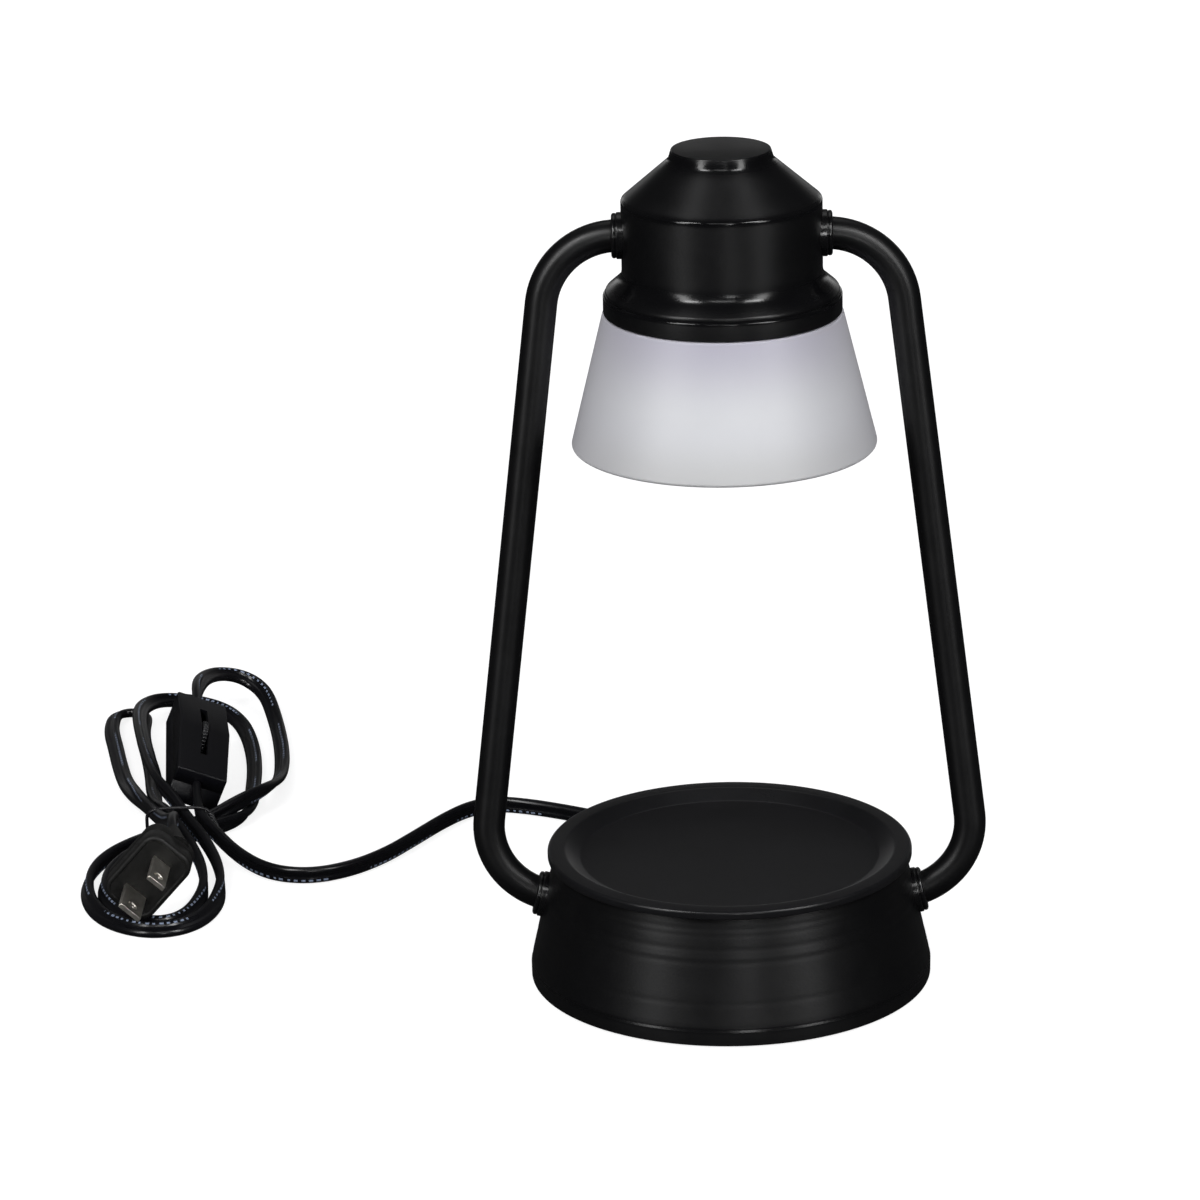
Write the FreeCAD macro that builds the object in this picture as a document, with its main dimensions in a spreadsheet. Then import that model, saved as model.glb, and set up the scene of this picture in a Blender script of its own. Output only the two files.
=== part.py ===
import FreeCAD, Part
import Sketcher
import math
import os

from FreeCAD import Placement, Rotation, Vector

# Candle warmer lamp: a weighted round base with a dished warming plate, two bent tubes that
# carry a spun hood, a frosted glass shade round a downward-facing twist-lock lamp, and a flat
# two-conductor cord with an in-line thumbwheel switch and a two-blade plug.
# Millimetres. +Z is up, +Y is the back, where the cord leaves, and the origin is under the
# middle of the base on the surface that the lamp stands on.

# ---------------------------------------------------------------- driving dimensions

DIMENSIONS = [
    # base
    ("foot_height", 1.8),
    ("foot_dia", 12.0),
    ("foot_inset", 14.0),
    ("foot_peg_dia", 4.0),
    ("shell_bottom", 0.6),
    ("base_r", 60.0),
    ("band_height", 4.6),
    ("wall_run", 7.7),
    ("base_wall", 1.0),
    ("flange_width", 1.5),
    ("ledge_width", 4.0),
    ("cover_thick", 1.2),
    ("cover_gap", 0.3),
    ("cover_screw_circle_r", 30.0),
    ("weight_inset", 8.3),
    ("weight_height", 10.0),
    # warming plate
    ("rim_overhang", 2.2),
    ("rim_top", 40.5),
    ("rim_drop", 2.5),
    ("rim_round", 0.9),
    ("plate_thick", 1.0),
    ("rim_flat", 5.1),
    ("recess_slope", 4.8),
    ("recess_depth", 2.9),
    ("stud_dia", 6.0),
    ("stud_head_dia", 18.0),
    ("stud_head_thick", 1.5),
    ("clamp_nut_margin", 4.0),
    ("clamp_nut_thick", 5.0),
    ("clamp_washer_margin", 12.0),
    ("clamp_washer_thick", 1.2),
    # frame
    ("tube_dia", 9.5),
    ("tube_wall", 0.9),
    ("tube_clear", 0.2),
    ("bend_r", 22.5),
    ("frame_reach", 21.1),
    ("frame_spread", 14.1),
    ("head_entry_rise", 22.6),
    ("base_entry_z", 25.3),
    ("tube_end_stand", 1.0),
    ("tube_tail", 8.5),
    ("escutcheon_margin", 4.1),
    ("escutcheon_thick", 2.8),
    ("escutcheon_groove", 0.45),
    ("lock_nut_margin", 3.5),
    ("lock_nut_thick", 2.8),
    ("saddle_margin", 3.1),
    ("base_saddle_thick", 1.6),
    # hood
    ("head_wall", 1.0),
    ("collar_r", 34.7),
    ("collar_bottom", 206.3),
    ("collar_height", 5.2),
    ("collar_step", 0.7),
    ("flare_rise", 1.3),
    ("flare_height", 4.2),
    ("hood_r", 29.1),
    ("barrel_height", 22.45),
    ("cone_height", 11.9),
    ("knob_foot_r", 15.3),
    ("knob_height", 2.95),
    ("knob_taper", 0.9),
    ("flare_round", 1.1),
    ("hood_round", 4.5),
    ("shoulder_round", 1.0),
    ("knob_round", 2.4),
    ("knob_edge", 0.4),
    # shade
    ("glass_wall", 2.0),
    ("shade_height", 40.0),
    ("shade_flare", 9.85),
    ("shade_lip", 0.25),
    ("shade_gap", 0.3),
    ("shade_neck_clear", 0.4),
    ("shade_neck_height", 9.0),
    ("shade_lip_round", 0.9),
    # lamp carrier, clamp ring and lamp holder
    ("carrier_inset", 1.3),
    ("carrier_thick", 1.2),
    ("carrier_hole_margin", 1.5),
    ("ear_gap", 2.3),
    ("ear_margin", 6.5),
    ("ear_rise", 2.75),
    ("ring_inner_r", 15.5),
    ("ring_screw_inset", 2.5),
    ("ring_clear", 2.35),
    ("ring_thick", 1.2),
    ("holder_r", 13.5),
    ("holder_height", 18.0),
    ("holder_flange_width", 4.5),
    ("holder_flange_thick", 3.0),
    ("holder_screw_offset", 2.2),
    ("pin_circle_r", 5.0),
    ("pin_dia", 3.0),
    ("pin_head_dia", 5.0),
    ("pin_head_thick", 2.1),
    ("pin_face", 2.8),
    ("pin_clear", 0.25),
    ("twist_angle", 30.0),
    ("chamber_height", 6.4),
    # bulb
    ("bulb_length", 46.5),
    ("bulb_r", 25.0),
    ("bulb_base_r", 10.0),
    ("bulb_base_height", 15.0),
    ("bulb_rim_height", 3.4),
    ("bulb_wall", 1.4),
    ("lens_thick", 2.2),
    # fasteners
    ("screw_dia", 3.0),
    ("screw_head_dia", 5.5),
    ("screw_head_thick", 1.6),
    # leads
    ("lead_dia", 1.9),
    ("lead_pitch", 2.3),
    ("connector_r", 4.2),
    ("connector_length", 15.0),
    ("connector_x", 12.0),
    ("connector_y", 26.0),
    # cord and gland
    ("cord_dia", 4.2),
    ("cord_lead", 8.0),
    ("gland_z", 12.0),
    ("gland_dia", 8.4),
    ("gland_flange_margin", 4.6),
    ("gland_flange_thick", 2.2),
    ("gland_stand", 6.5),
    ("gland_tail", 8.0),
    # tie
    ("tie_wire_dia", 1.2),
    ("tie_x", -177.0),
    ("tie_y", 113.0),
    ("tie_half_width", 10.4),
    ("tie_top", 11.9),
    ("tie_corner_r", 2.6),
    # in-line switch
    ("switch_x", -175.1),
    ("switch_y", 162.6),
    ("switch_z", 14.3),
    ("switch_yaw", 95.0),
    ("switch_tilt", -6.5),
    ("switch_roll", 22.0),
    ("switch_length", 56.0),
    ("switch_width", 17.0),
    ("switch_depth", 8.0),
    ("switch_ridge", 8.0),
    ("switch_end_height", 4.6),
    ("switch_split", -0.5),
    ("switch_wall", 1.6),
    ("switch_cord_z", -1.0),
    ("switch_slot_length", 33.0),
    ("switch_edge_round", 0.7),
    ("wheel_stand", 1.0),
    ("wheel_clear", 0.2),
    ("wheel_side_gap", 0.2),
    ("wheel_thick", 2.0),
    ("wheel_notch_dia", 1.0),
    ("wheel_notches", 24),
    ("axle_dia", 2.4),
    ("axle_clear", 0.05),
    ("switch_screw_inset", 6.0),
    ("contact_thick", 0.8),
    # plug
    ("plug_x", -178.8),
    ("plug_y", 34.0),
    ("plug_z", 18.5),
    ("plug_tilt", 48.2),
    ("plug_length", 26.0),
    ("plug_width", 18.0),
    ("plug_thick", 13.0),
    ("plug_corner_r", 5.0),
    ("plug_edge_round", 1.0),
    ("boot_dia", 8.0),
    ("boot_length", 6.0),
    ("blade_pitch", 12.7),
    ("blade_thick", 1.5),
    ("blade_length", 16.5),
    ("blade_root", 8.0),
    ("narrow_blade", 6.35),
    ("wide_blade", 7.94),
    ("blade_hole_dia", 3.2),
    ("blade_hole_from_face", 11.7),
]

DOC = FreeCAD.newDocument("candle_warmer_lamp")
SHEET = DOC.addObject("Spreadsheet::Sheet", "dims")
for row, (alias, number) in enumerate(DIMENSIONS, start=1):
    SHEET.set(f"A{row}", alias)
    SHEET.set(f"B{row}", str(number))
    SHEET.setAlias(f"B{row}", alias)
DOC.recompute()
SIZE = {alias: float(number) for alias, number in DIMENSIONS}
PROBE = DOC.addObject("Spreadsheet::Sheet", "probe")

NODES = []


# ---------------------------------------------------------------- helpers


def bind(obj, **formulas):
    """Ties properties of obj to the sheet. A double underscore stands for a dot."""
    for name, formula in formulas.items():
        obj.setExpression(name.replace("__", "."), named(formula))
    return obj


def named(formula):
    """A formula written with bare alias words, with the sheet's name put before each."""
    words = ""
    word = ""
    for letter in formula + " ":
        if letter.isalnum() or letter == "_":
            word += letter
        else:
            words += ("dims." + word if word in SIZE else word) + letter
            word = ""
    return words.strip()


def number(formula):
    """The value of a formula of aliases, in mm or degrees, with angles inside sin and cos."""
    PROBE.set("A1", "=" + named(formula))
    PROBE.recompute()
    found = PROBE.get("A1")
    return float(getattr(found, "Value", found))


def node(obj, name):
    obj.Label = name
    NODES.append(obj)
    return obj


def placed(obj, x="0", y="0", z="0"):
    """Binds the place of obj, leaving a coordinate of zero free."""
    for axis, formula in (("x", x), ("y", y), ("z", z)):
        if formula != "0":
            obj.setExpression("Placement.Base." + axis, named(formula))
    return obj


def cylinder(name, radius, height, x="0", y="0", z="0", axis=None):
    """A cylinder whose foot is at x, y, z and which runs along axis."""
    obj = DOC.addObject("Part::Cylinder", name)
    bind(obj, Radius=radius, Height=height)
    if axis is not None:
        obj.Placement = Placement(Vector(), Rotation(Vector(0, 0, 1), Vector(*axis)))
    return placed(obj, x, y, z)


def box(name, length, width, height, x="0", y="0", z="0"):
    obj = DOC.addObject("Part::Box", name)
    bind(obj, Length=length, Width=width, Height=height)
    return placed(obj, x, y, z)


def hexagon(name, flats, height, x="0", y="0", z="0", axis=None):
    obj = DOC.addObject("Part::Prism", name)
    obj.Polygon = 6
    bind(obj, Circumradius=f"({flats}) / sqrt(3)", Height=height)
    if axis is not None:
        obj.Placement = Placement(Vector(), Rotation(Vector(0, 0, 1), Vector(*axis)))
    return placed(obj, x, y, z)


def fuse(name, *parts):
    obj = DOC.addObject("Part::MultiFuse", name)
    obj.Shapes = list(parts)
    return obj


def cut(name, base, *tools):
    tool = tools[0] if len(tools) == 1 else fuse(name + "_tools", *tools)
    obj = DOC.addObject("Part::Cut", name)
    obj.Base = base
    obj.Tool = tool
    return obj


def common(name, base, tool):
    obj = DOC.addObject("Part::MultiCommon", name)
    obj.Shapes = [base, tool]
    return obj


def group(name, *parts):
    obj = DOC.addObject("Part::Compound", name)
    obj.Links = list(parts)
    return obj


def mirrored_pair(name, part):
    """part and its mirror image on the other side of the lamp."""
    twin = DOC.addObject("Part::Mirroring", name + "_twin")
    twin.Source = part
    twin.Normal = Vector(1, 0, 0)
    return group(name, part, twin)


def turned_copies(name, part, count, first=0.0):
    """count copies of part, evenly turned about the lamp's axis."""
    copies = []
    for index in range(count):
        copy = DOC.addObject("Part::Compound", f"{name}_{index}")
        copy.Links = [part]
        copy.Placement = Placement(Vector(), Rotation(Vector(0, 0, 1), first + 360.0 * index / count))
        copies.append(copy)
    return group(name, *copies)


def plane_sketch(body, name, role, outline):
    """A closed outline of straight lines on one of the body's own planes, each vertex bound."""
    sketch = body.newObject("Sketcher::SketchObject", name)
    plane = [item for item in body.Origin.OriginFeatures if item.Role == role][0]
    sketch.AttachmentSupport = [(plane, "")]
    sketch.MapMode = "FlatFace"
    return draw(sketch, outline)


def draw(sketch, outline):
    corners = [Vector(number(across), number(up), 0) for across, up in outline]
    count = len(corners)
    for index in range(count):
        sketch.addGeometry(Part.LineSegment(corners[index], corners[(index + 1) % count]), False)
    for index in range(count):
        following = (index + 1) % count
        sketch.addConstraint(Sketcher.Constraint("Coincident", index, 2, following, 1))
    for index, (across, up) in enumerate(outline):
        for kind, formula in (("DistanceX", across), ("DistanceY", up)):
            place = sketch.addConstraint(
                Sketcher.Constraint(kind, -1, 1, index, 1, number(formula))
            )
            sketch.setExpression(f"Constraints[{place}]", named(formula))
    return sketch


def turned(name, outline, rounds=()):
    """A body turned about Z from an outline of (radius, height), with its ring edges rounded.
    rounds lists (radius, height, fillet radius)."""
    body = DOC.addObject("PartDesign::Body", name)
    sketch = plane_sketch(body, name + "_outline", "XZ_Plane", outline)
    turn = body.newObject("PartDesign::Revolution", name + "_turn")
    turn.Profile = sketch
    turn.ReferenceAxis = (sketch, ["V_Axis"])
    turn.Angle = 360.0
    DOC.recompute()
    for index, (radius, height, fillet) in enumerate(rounds):
        base = body.Tip
        edges = ring_edges(base.Shape, number(radius), number(height))
        step = body.newObject("PartDesign::Fillet", f"{name}_round_{index}")
        step.Base = (base, edges)
        bind(step, Radius=fillet)
        body.Tip = step
        DOC.recompute()
    return body


def ring_edges(shape, radius, height):
    found = []
    for index, edge in enumerate(shape.Edges, start=1):
        curve = edge.Curve
        if not isinstance(curve, Part.Circle):
            continue
        if abs(curve.Radius - radius) < 1e-4 and abs(curve.Center.z - height) < 1e-4:
            found.append(f"Edge{index}")
    return found


def own_shape(name, shape):
    obj = DOC.addObject("Part::Feature", name)
    obj.Shape = shape
    return obj


def bent_path(points, radii):
    """Straight runs joined by tangent arcs. radii holds one arc radius per inner point."""
    edges = []
    start = points[0]
    for index, radius in enumerate(radii, start=1):
        corner = points[index]
        back = (points[index - 1] - corner).normalize()
        ahead = (points[index + 1] - corner).normalize()
        half_turn = (math.pi - back.getAngle(ahead)) / 2
        reach = radius * math.tan(half_turn)
        arc_start = corner + back * reach
        arc_end = corner + ahead * reach
        middle = (back + ahead).normalize()
        centre = corner + middle * (radius / math.cos(half_turn))
        edges.append(Part.LineSegment(start, arc_start).toShape())
        edges.append(Part.Arc(arc_start, centre - middle * radius, arc_end).toShape())
        start = arc_end
    edges.append(Part.LineSegment(start, points[-1]).toShape())
    return Part.Wire(edges)


def pipe(path, radius):
    first = path.OrderedEdges[0] if hasattr(path, "OrderedEdges") else path.Edges[0]
    start = first.valueAt(first.FirstParameter)
    along = first.tangentAt(first.FirstParameter)
    ring = Part.Wire([Part.makeCircle(radius, start, along)])
    solid = path.makePipeShell([ring], True, False)
    return solid if solid.Volume > 0 else solid.reversed()


# ---------------------------------------------------------------- derived sizes and places

COVER_TOP = "(foot_height + cover_thick)"
BAND_TOP = "(shell_bottom + band_height)"
SHELL_TOP = "(rim_top - plate_thick)"
FOOT_CIRCLE_R = "(base_r - foot_inset)"
NECK_R = "(base_r - wall_run)"
WEIGHT_R = f"({NECK_R} - weight_inset)"
RIM_R = f"({NECK_R} + rim_overhang)"
RECESS_R = f"({RIM_R} - rim_flat - recess_slope)"
PLATE_TOP = "(rim_top - recess_depth)"
ESCUTCHEON_DIA = "(tube_dia + escutcheon_margin)"
SADDLE_DIA = "(tube_dia + saddle_margin)"
LOCK_NUT_FLATS = "(tube_dia + lock_nut_margin)"
HEAD_ENTRY_Z = "(collar_bottom + head_entry_rise)"
COLLAR_TOP = "(collar_bottom + collar_height)"
FLARE_R = "(collar_r - collar_step)"
FLARE_Z = f"({COLLAR_TOP} + flare_rise)"
BARREL_Z = f"({FLARE_Z} + flare_height)"
SHOULDER_Z = f"({BARREL_Z} + barrel_height)"
KNOB_FOOT_Z = f"({SHOULDER_Z} + cone_height)"
KNOB_R = "(knob_foot_r - knob_taper)"
HEAD_TOP = f"({KNOB_FOOT_Z} + knob_height)"
HOOD_BORE_R = "(hood_r - head_wall)"
SHADE_SHOULDER_Z = "(collar_bottom - shade_gap)"
SHADE_BOTTOM = f"({SHADE_SHOULDER_Z} - shade_height)"
SHADE_TOP_R = "(collar_r + shade_lip)"
SHADE_R = f"({SHADE_TOP_R} + shade_flare)"
SHADE_NECK_TOP = f"({SHADE_SHOULDER_Z} + shade_neck_height)"
NECK_SHARE = f"(({SHADE_NECK_TOP} - {FLARE_Z} + head_wall * 0.6) / flare_height)"
SHADE_NECK_R = (
    f"({FLARE_R} - head_wall - ({FLARE_R} - hood_r) * {NECK_SHARE} - shade_neck_clear)"
)
RING_SCREW_R = "(ring_inner_r + ring_screw_inset)"
SHADE_HOLE_R = f"({RING_SCREW_R} + screw_dia)"
CARRIER_TOP = f"({SHADE_NECK_TOP} + carrier_thick)"
EAR_OUTER_X = f"({HOOD_BORE_R} - ear_gap)"
EAR_INNER_X = f"({EAR_OUTER_X} - carrier_thick)"
EAR_WIDTH = "(tube_dia + ear_margin)"
EAR_TOP = f"({HEAD_ENTRY_Z} + tube_dia / 2 + ear_rise)"
TUBE_END_X = f"({EAR_INNER_X} - lock_nut_thick - tube_end_stand)"
HOLDER_SCREW_R = "(holder_r + holder_screw_offset)"
GLAND_FLANGE_R = "((gland_dia + gland_flange_margin) / 2)"
GLAND_TIP_Y = "(base_r + gland_stand)"
SWITCH_SCREW_X = "(switch_length / 2 - switch_screw_inset)"
WHEEL_TOP = "(switch_ridge + wheel_stand)"
WHEEL_FOOT = "(switch_wall + wheel_clear - switch_depth)"
WHEEL_R = f"(({WHEEL_TOP} - {WHEEL_FOOT}) / 2)"
WHEEL_Z = f"(({WHEEL_TOP} + {WHEEL_FOOT}) / 2)"

# ---------------------------------------------------------------- base

WALL_LEAN = math.degrees(
    math.atan2(SIZE["wall_run"], number(f"{SHELL_TOP} - {BAND_TOP}"))
)


def wall_radius(height):
    """Outer radius of the sloping base wall at that height."""
    share = (height - number(BAND_TOP)) / number(f"{SHELL_TOP} - {BAND_TOP}")
    return SIZE["base_r"] - share * SIZE["wall_run"]


# The outline runs up the outside, in along the top flange and back down the inside, with the
# ledge that the bottom cover bears against.
base_turned = turned(
    "base_turned",
    [
        ("base_r", "shell_bottom"),
        ("base_r", BAND_TOP),
        (NECK_R, SHELL_TOP),
        (f"{NECK_R} - flange_width", SHELL_TOP),
        (f"{NECK_R} - flange_width", f"{SHELL_TOP} - base_wall"),
        (f"{NECK_R} - base_wall", f"{SHELL_TOP} - base_wall"),
        ("base_r - base_wall", BAND_TOP),
        ("base_r - base_wall", f"{COVER_TOP} + base_wall"),
        ("base_r - base_wall - ledge_width", f"{COVER_TOP} + base_wall"),
        ("base_r - base_wall - ledge_width", COVER_TOP),
        ("base_r - base_wall", COVER_TOP),
        ("base_r - base_wall", "shell_bottom"),
    ],
    [("base_r", BAND_TOP, "base_wall * 0.9"), ("base_r", "shell_bottom", "base_wall * 0.4")],
)


LEAN = math.radians(WALL_LEAN)
WALL_OUTWARD = Vector(math.cos(LEAN), 0, math.sin(LEAN))
BASE_ENTRY = Vector(wall_radius(SIZE["base_entry_z"]), 0, SIZE["base_entry_z"])
FRAME_FOOT = BASE_ENTRY + WALL_OUTWARD * (
    (number("base_r + frame_spread") - BASE_ENTRY.x) / WALL_OUTWARD.x
)
FRAME_TOP = Vector(number("hood_r + frame_reach"), 0, number(HEAD_ENTRY_Z))
TUBE_HEAD_END = Vector(number(TUBE_END_X), 0, number(HEAD_ENTRY_Z))
TUBE_BASE_END = BASE_ENTRY - WALL_OUTWARD * SIZE["tube_tail"]


def mirror_x(point):
    return Vector(-point.x, point.y, point.z)


def frame_path(side):
    corners = [TUBE_BASE_END, FRAME_FOOT, FRAME_TOP, TUBE_HEAD_END]
    if side < 0:
        corners = [mirror_x(point) for point in corners]
    return bent_path(corners, [SIZE["bend_r"], SIZE["bend_r"]])


def tube_passage(name, side):
    """The room that a frame tube needs where it goes through another piece."""
    return own_shape(name, pipe(frame_path(side), number("tube_dia / 2 + tube_clear")))


PASSAGE_RIGHT = tube_passage("passage_right", 1)
PASSAGE_LEFT = tube_passage("passage_left", -1)

gland_hole = cylinder(
    "gland_hole", "gland_dia / 2", "base_r * 0.5", y="base_r * 0.75", z="gland_z", axis=(0, 1, 0)
)
node(
    cut("base_shell_cut", base_turned, PASSAGE_RIGHT, PASSAGE_LEFT, gland_hole),
    "base_shell",
)

cover_disc = cylinder(
    "cover_disc", "base_r - base_wall - cover_gap", "cover_thick", z="foot_height"
)
cover_bore = cylinder("cover_bore", "stud_dia / 2", "cover_thick", z="foot_height")
peg_bore = cylinder(
    "peg_bore", "foot_peg_dia / 2", "cover_thick", x=FOOT_CIRCLE_R, z="foot_height"
)
peg_bores = turned_copies("peg_bores", peg_bore, 4, 45.0)
cover_screw_bore = cylinder(
    "cover_screw_bore", "screw_dia / 2", "cover_thick", x="cover_screw_circle_r", z="foot_height"
)
cover_screw_bores = turned_copies("cover_screw_bores", cover_screw_bore, 3, 90.0)
node(
    cut("bottom_cover_cut", cover_disc, cover_bore, peg_bores, cover_screw_bores), "bottom_cover"
)

foot_pad = cylinder("foot_pad", "foot_dia / 2", "foot_height", x=FOOT_CIRCLE_R)
foot_peg = cylinder(
    "foot_peg", "foot_peg_dia / 2", "cover_thick", x=FOOT_CIRCLE_R, z="foot_height"
)
node(turned_copies("feet", fuse("foot", foot_pad, foot_peg), 4, 45.0), "rubber_feet")

weight_disc = cylinder("weight_disc", WEIGHT_R, "weight_height", z=COVER_TOP)
weight_bore = cylinder("weight_bore", "stud_dia / 2", "weight_height", z=COVER_TOP)
weight_tap = cylinder(
    "weight_tap", "screw_dia / 2", "weight_height * 0.6", x="cover_screw_circle_r", z=COVER_TOP
)
node(
    cut("weight_cut", weight_disc, weight_bore, turned_copies("weight_taps", weight_tap, 3, 90.0)),
    "base_weight",
)

cover_screw_shank = cylinder(
    "cover_screw_shank",
    "screw_dia / 2",
    "cover_thick + weight_height * 0.6",
    x="cover_screw_circle_r",
    z="foot_height",
)
cover_screw_head = cylinder(
    "cover_screw_head",
    "screw_head_dia / 2",
    "foot_height - shell_bottom",
    x="cover_screw_circle_r",
    z="shell_bottom",
)
node(
    turned_copies(
        "cover_screw_set", fuse("cover_screw", cover_screw_shank, cover_screw_head), 3, 90.0
    ),
    "cover_screws",
)

# ---------------------------------------------------------------- warming plate

SLOPE_SHIFT = "plate_thick * tan(atan(recess_depth / recess_slope) / 2)"

node(
    turned(
        "plate_turned",
        [
            ("0", PLATE_TOP),
            (RECESS_R, PLATE_TOP),
            (f"{RECESS_R} + recess_slope", "rim_top"),
            (RIM_R, "rim_top"),
            (RIM_R, "rim_top - rim_drop"),
            (f"{RIM_R} - plate_thick", "rim_top - rim_drop"),
            (f"{RIM_R} - plate_thick", "rim_top - plate_thick"),
            (f"{RECESS_R} + recess_slope + {SLOPE_SHIFT}", "rim_top - plate_thick"),
            (f"{RECESS_R} + {SLOPE_SHIFT}", f"{PLATE_TOP} - plate_thick"),
            ("0", f"{PLATE_TOP} - plate_thick"),
        ],
        [
            (RIM_R, "rim_top", "rim_round"),
            (f"{RECESS_R} + recess_slope", "rim_top", "rim_round"),
            (RIM_R, "rim_top - rim_drop", "plate_thick * 0.45"),
            (f"{RIM_R} - plate_thick", "rim_top - rim_drop", "plate_thick * 0.45"),
        ],
    ),
    "warming_plate",
)

STUD_TOP = f"({PLATE_TOP} - plate_thick)"
WEIGHT_TOP = f"({COVER_TOP} + weight_height)"
stud_head = cylinder(
    "stud_head", "stud_head_dia / 2", "stud_head_thick", z=f"{STUD_TOP} - stud_head_thick"
)
stud_shank = cylinder(
    "stud_shank",
    "stud_dia / 2",
    f"{STUD_TOP} - stud_head_thick - foot_height + 0.4 * foot_height",
    z="0.6 * foot_height",
)
node(fuse("stud", stud_head, stud_shank), "plate_stud")

washer_disc = cylinder(
    "clamp_washer_disc", "(stud_dia + clamp_washer_margin) / 2", "clamp_washer_thick", z=WEIGHT_TOP
)
washer_bore = cylinder("clamp_washer_bore", "stud_dia / 2", "clamp_washer_thick", z=WEIGHT_TOP)
node(cut("clamp_washer_cut", washer_disc, washer_bore), "clamp_washer")

NUT_FOOT = f"({WEIGHT_TOP} + clamp_washer_thick)"
nut_hex = hexagon("clamp_nut_hex", "stud_dia + clamp_nut_margin", "clamp_nut_thick", z=NUT_FOOT)
nut_bore = cylinder("clamp_nut_bore", "stud_dia / 2", "clamp_nut_thick", z=NUT_FOOT)
node(cut("clamp_nut_cut", nut_hex, nut_bore), "clamp_nut")

# ---------------------------------------------------------------- frame tubes

def frame_tube(side):
    path = frame_path(side)
    outside = pipe(path, number("tube_dia / 2"))
    inside = pipe(path, number("tube_dia / 2 - tube_wall"))
    return outside.cut(inside)


node(own_shape("tube_right", frame_tube(1)), "frame_tube_right")
node(own_shape("tube_left", frame_tube(-1)), "frame_tube_left")


def along_wall(obj, inward):
    """Puts an object that is made along +Z at the right-hand base entry, looking outward."""
    obj.Placement = Placement(
        BASE_ENTRY - WALL_OUTWARD * inward, Rotation(Vector(0, 0, 1), WALL_OUTWARD)
    )
    return obj


def escutcheon(name, depth):
    """Two-ring escutcheon made along +Z, its foot sunk by depth so that it can be saddled."""
    outer = f"{ESCUTCHEON_DIA} / 2"
    return turned(
        name,
        [
            ("tube_dia / 2 + tube_clear", "0"),
            (outer, "0"),
            (outer, f"{depth} + escutcheon_thick * 0.4"),
            (f"{outer} - escutcheon_groove", f"{depth} + escutcheon_thick * 0.5"),
            (f"{outer} - escutcheon_groove / 2", f"{depth} + escutcheon_thick * 0.6"),
            (f"{outer} - escutcheon_groove / 2", f"{depth} + escutcheon_thick * 0.85"),
            (f"{outer} - escutcheon_groove * 2", f"{depth} + escutcheon_thick"),
            ("tube_dia / 2 + tube_clear", f"{depth} + escutcheon_thick"),
        ],
    )


# Deep enough for the escutcheon's foot to reach the round wall all the way round.
SADDLE_DEPTH = f"({ESCUTCHEON_DIA} * {ESCUTCHEON_DIA} / hood_r / 5)"
head_escutcheon = escutcheon("head_escutcheon", SADDLE_DEPTH)
head_escutcheon.Placement = Placement(
    Vector(SIZE["hood_r"] - number(SADDLE_DEPTH), 0, number(HEAD_ENTRY_Z)),
    Rotation(Vector(0, 0, 1), Vector(1, 0, 0)),
)
hood_core = cylinder(
    "hood_core", "hood_r", f"{ESCUTCHEON_DIA} * 2", z=f"{HEAD_ENTRY_Z} - {ESCUTCHEON_DIA}"
)
node(
    mirrored_pair("head_escutcheon_pair", cut("head_saddled", head_escutcheon, hood_core)),
    "head_escutcheons",
)

base_escutcheon = along_wall(escutcheon("base_escutcheon", SADDLE_DEPTH), number(SADDLE_DEPTH))
base_core = DOC.addObject("Part::Cone", "base_core")
bind(base_core, Radius1="base_r", Radius2=NECK_R, Height=f"{SHELL_TOP} - {BAND_TOP}")
placed(base_core, z=BAND_TOP)
node(
    mirrored_pair(
        "base_escutcheon_pair", cut("base_saddled", base_escutcheon, base_core, PASSAGE_RIGHT)
    ),
    "base_escutcheons",
)

# Inside the hood each tube passes a saddle washer, the carrier's ear and a lock nut; inside the
# base it passes a saddle washer and a lock nut.
head_saddle_disc = cylinder(
    "head_saddle_disc",
    f"{SADDLE_DIA} / 2",
    "ear_gap",
    x=EAR_OUTER_X,
    z=HEAD_ENTRY_Z,
    axis=(1, 0, 0),
)
hood_inside = cylinder(
    "hood_inside", HOOD_BORE_R, f"{SADDLE_DIA} * 2", z=f"{HEAD_ENTRY_Z} - {SADDLE_DIA}"
)
head_saddle_bore = cylinder(
    "head_saddle_bore", "tube_dia / 2", "hood_r", z=HEAD_ENTRY_Z, axis=(1, 0, 0)
)
head_saddle = cut(
    "head_saddle", common("head_saddle_fit", head_saddle_disc, hood_inside), head_saddle_bore
)
node(mirrored_pair("head_saddle_pair", head_saddle), "head_saddle_washers")

head_nut_hex = hexagon(
    "head_nut_hex",
    LOCK_NUT_FLATS,
    "lock_nut_thick",
    x=f"{EAR_INNER_X} - lock_nut_thick",
    z=HEAD_ENTRY_Z,
    axis=(1, 0, 0),
)
head_nut_bore = cylinder(
    "head_nut_bore", "tube_dia / 2", "hood_r", z=HEAD_ENTRY_Z, axis=(1, 0, 0)
)
node(
    mirrored_pair("head_nut_pair", cut("head_nut", head_nut_hex, head_nut_bore)),
    "head_lock_nuts",
)

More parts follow.
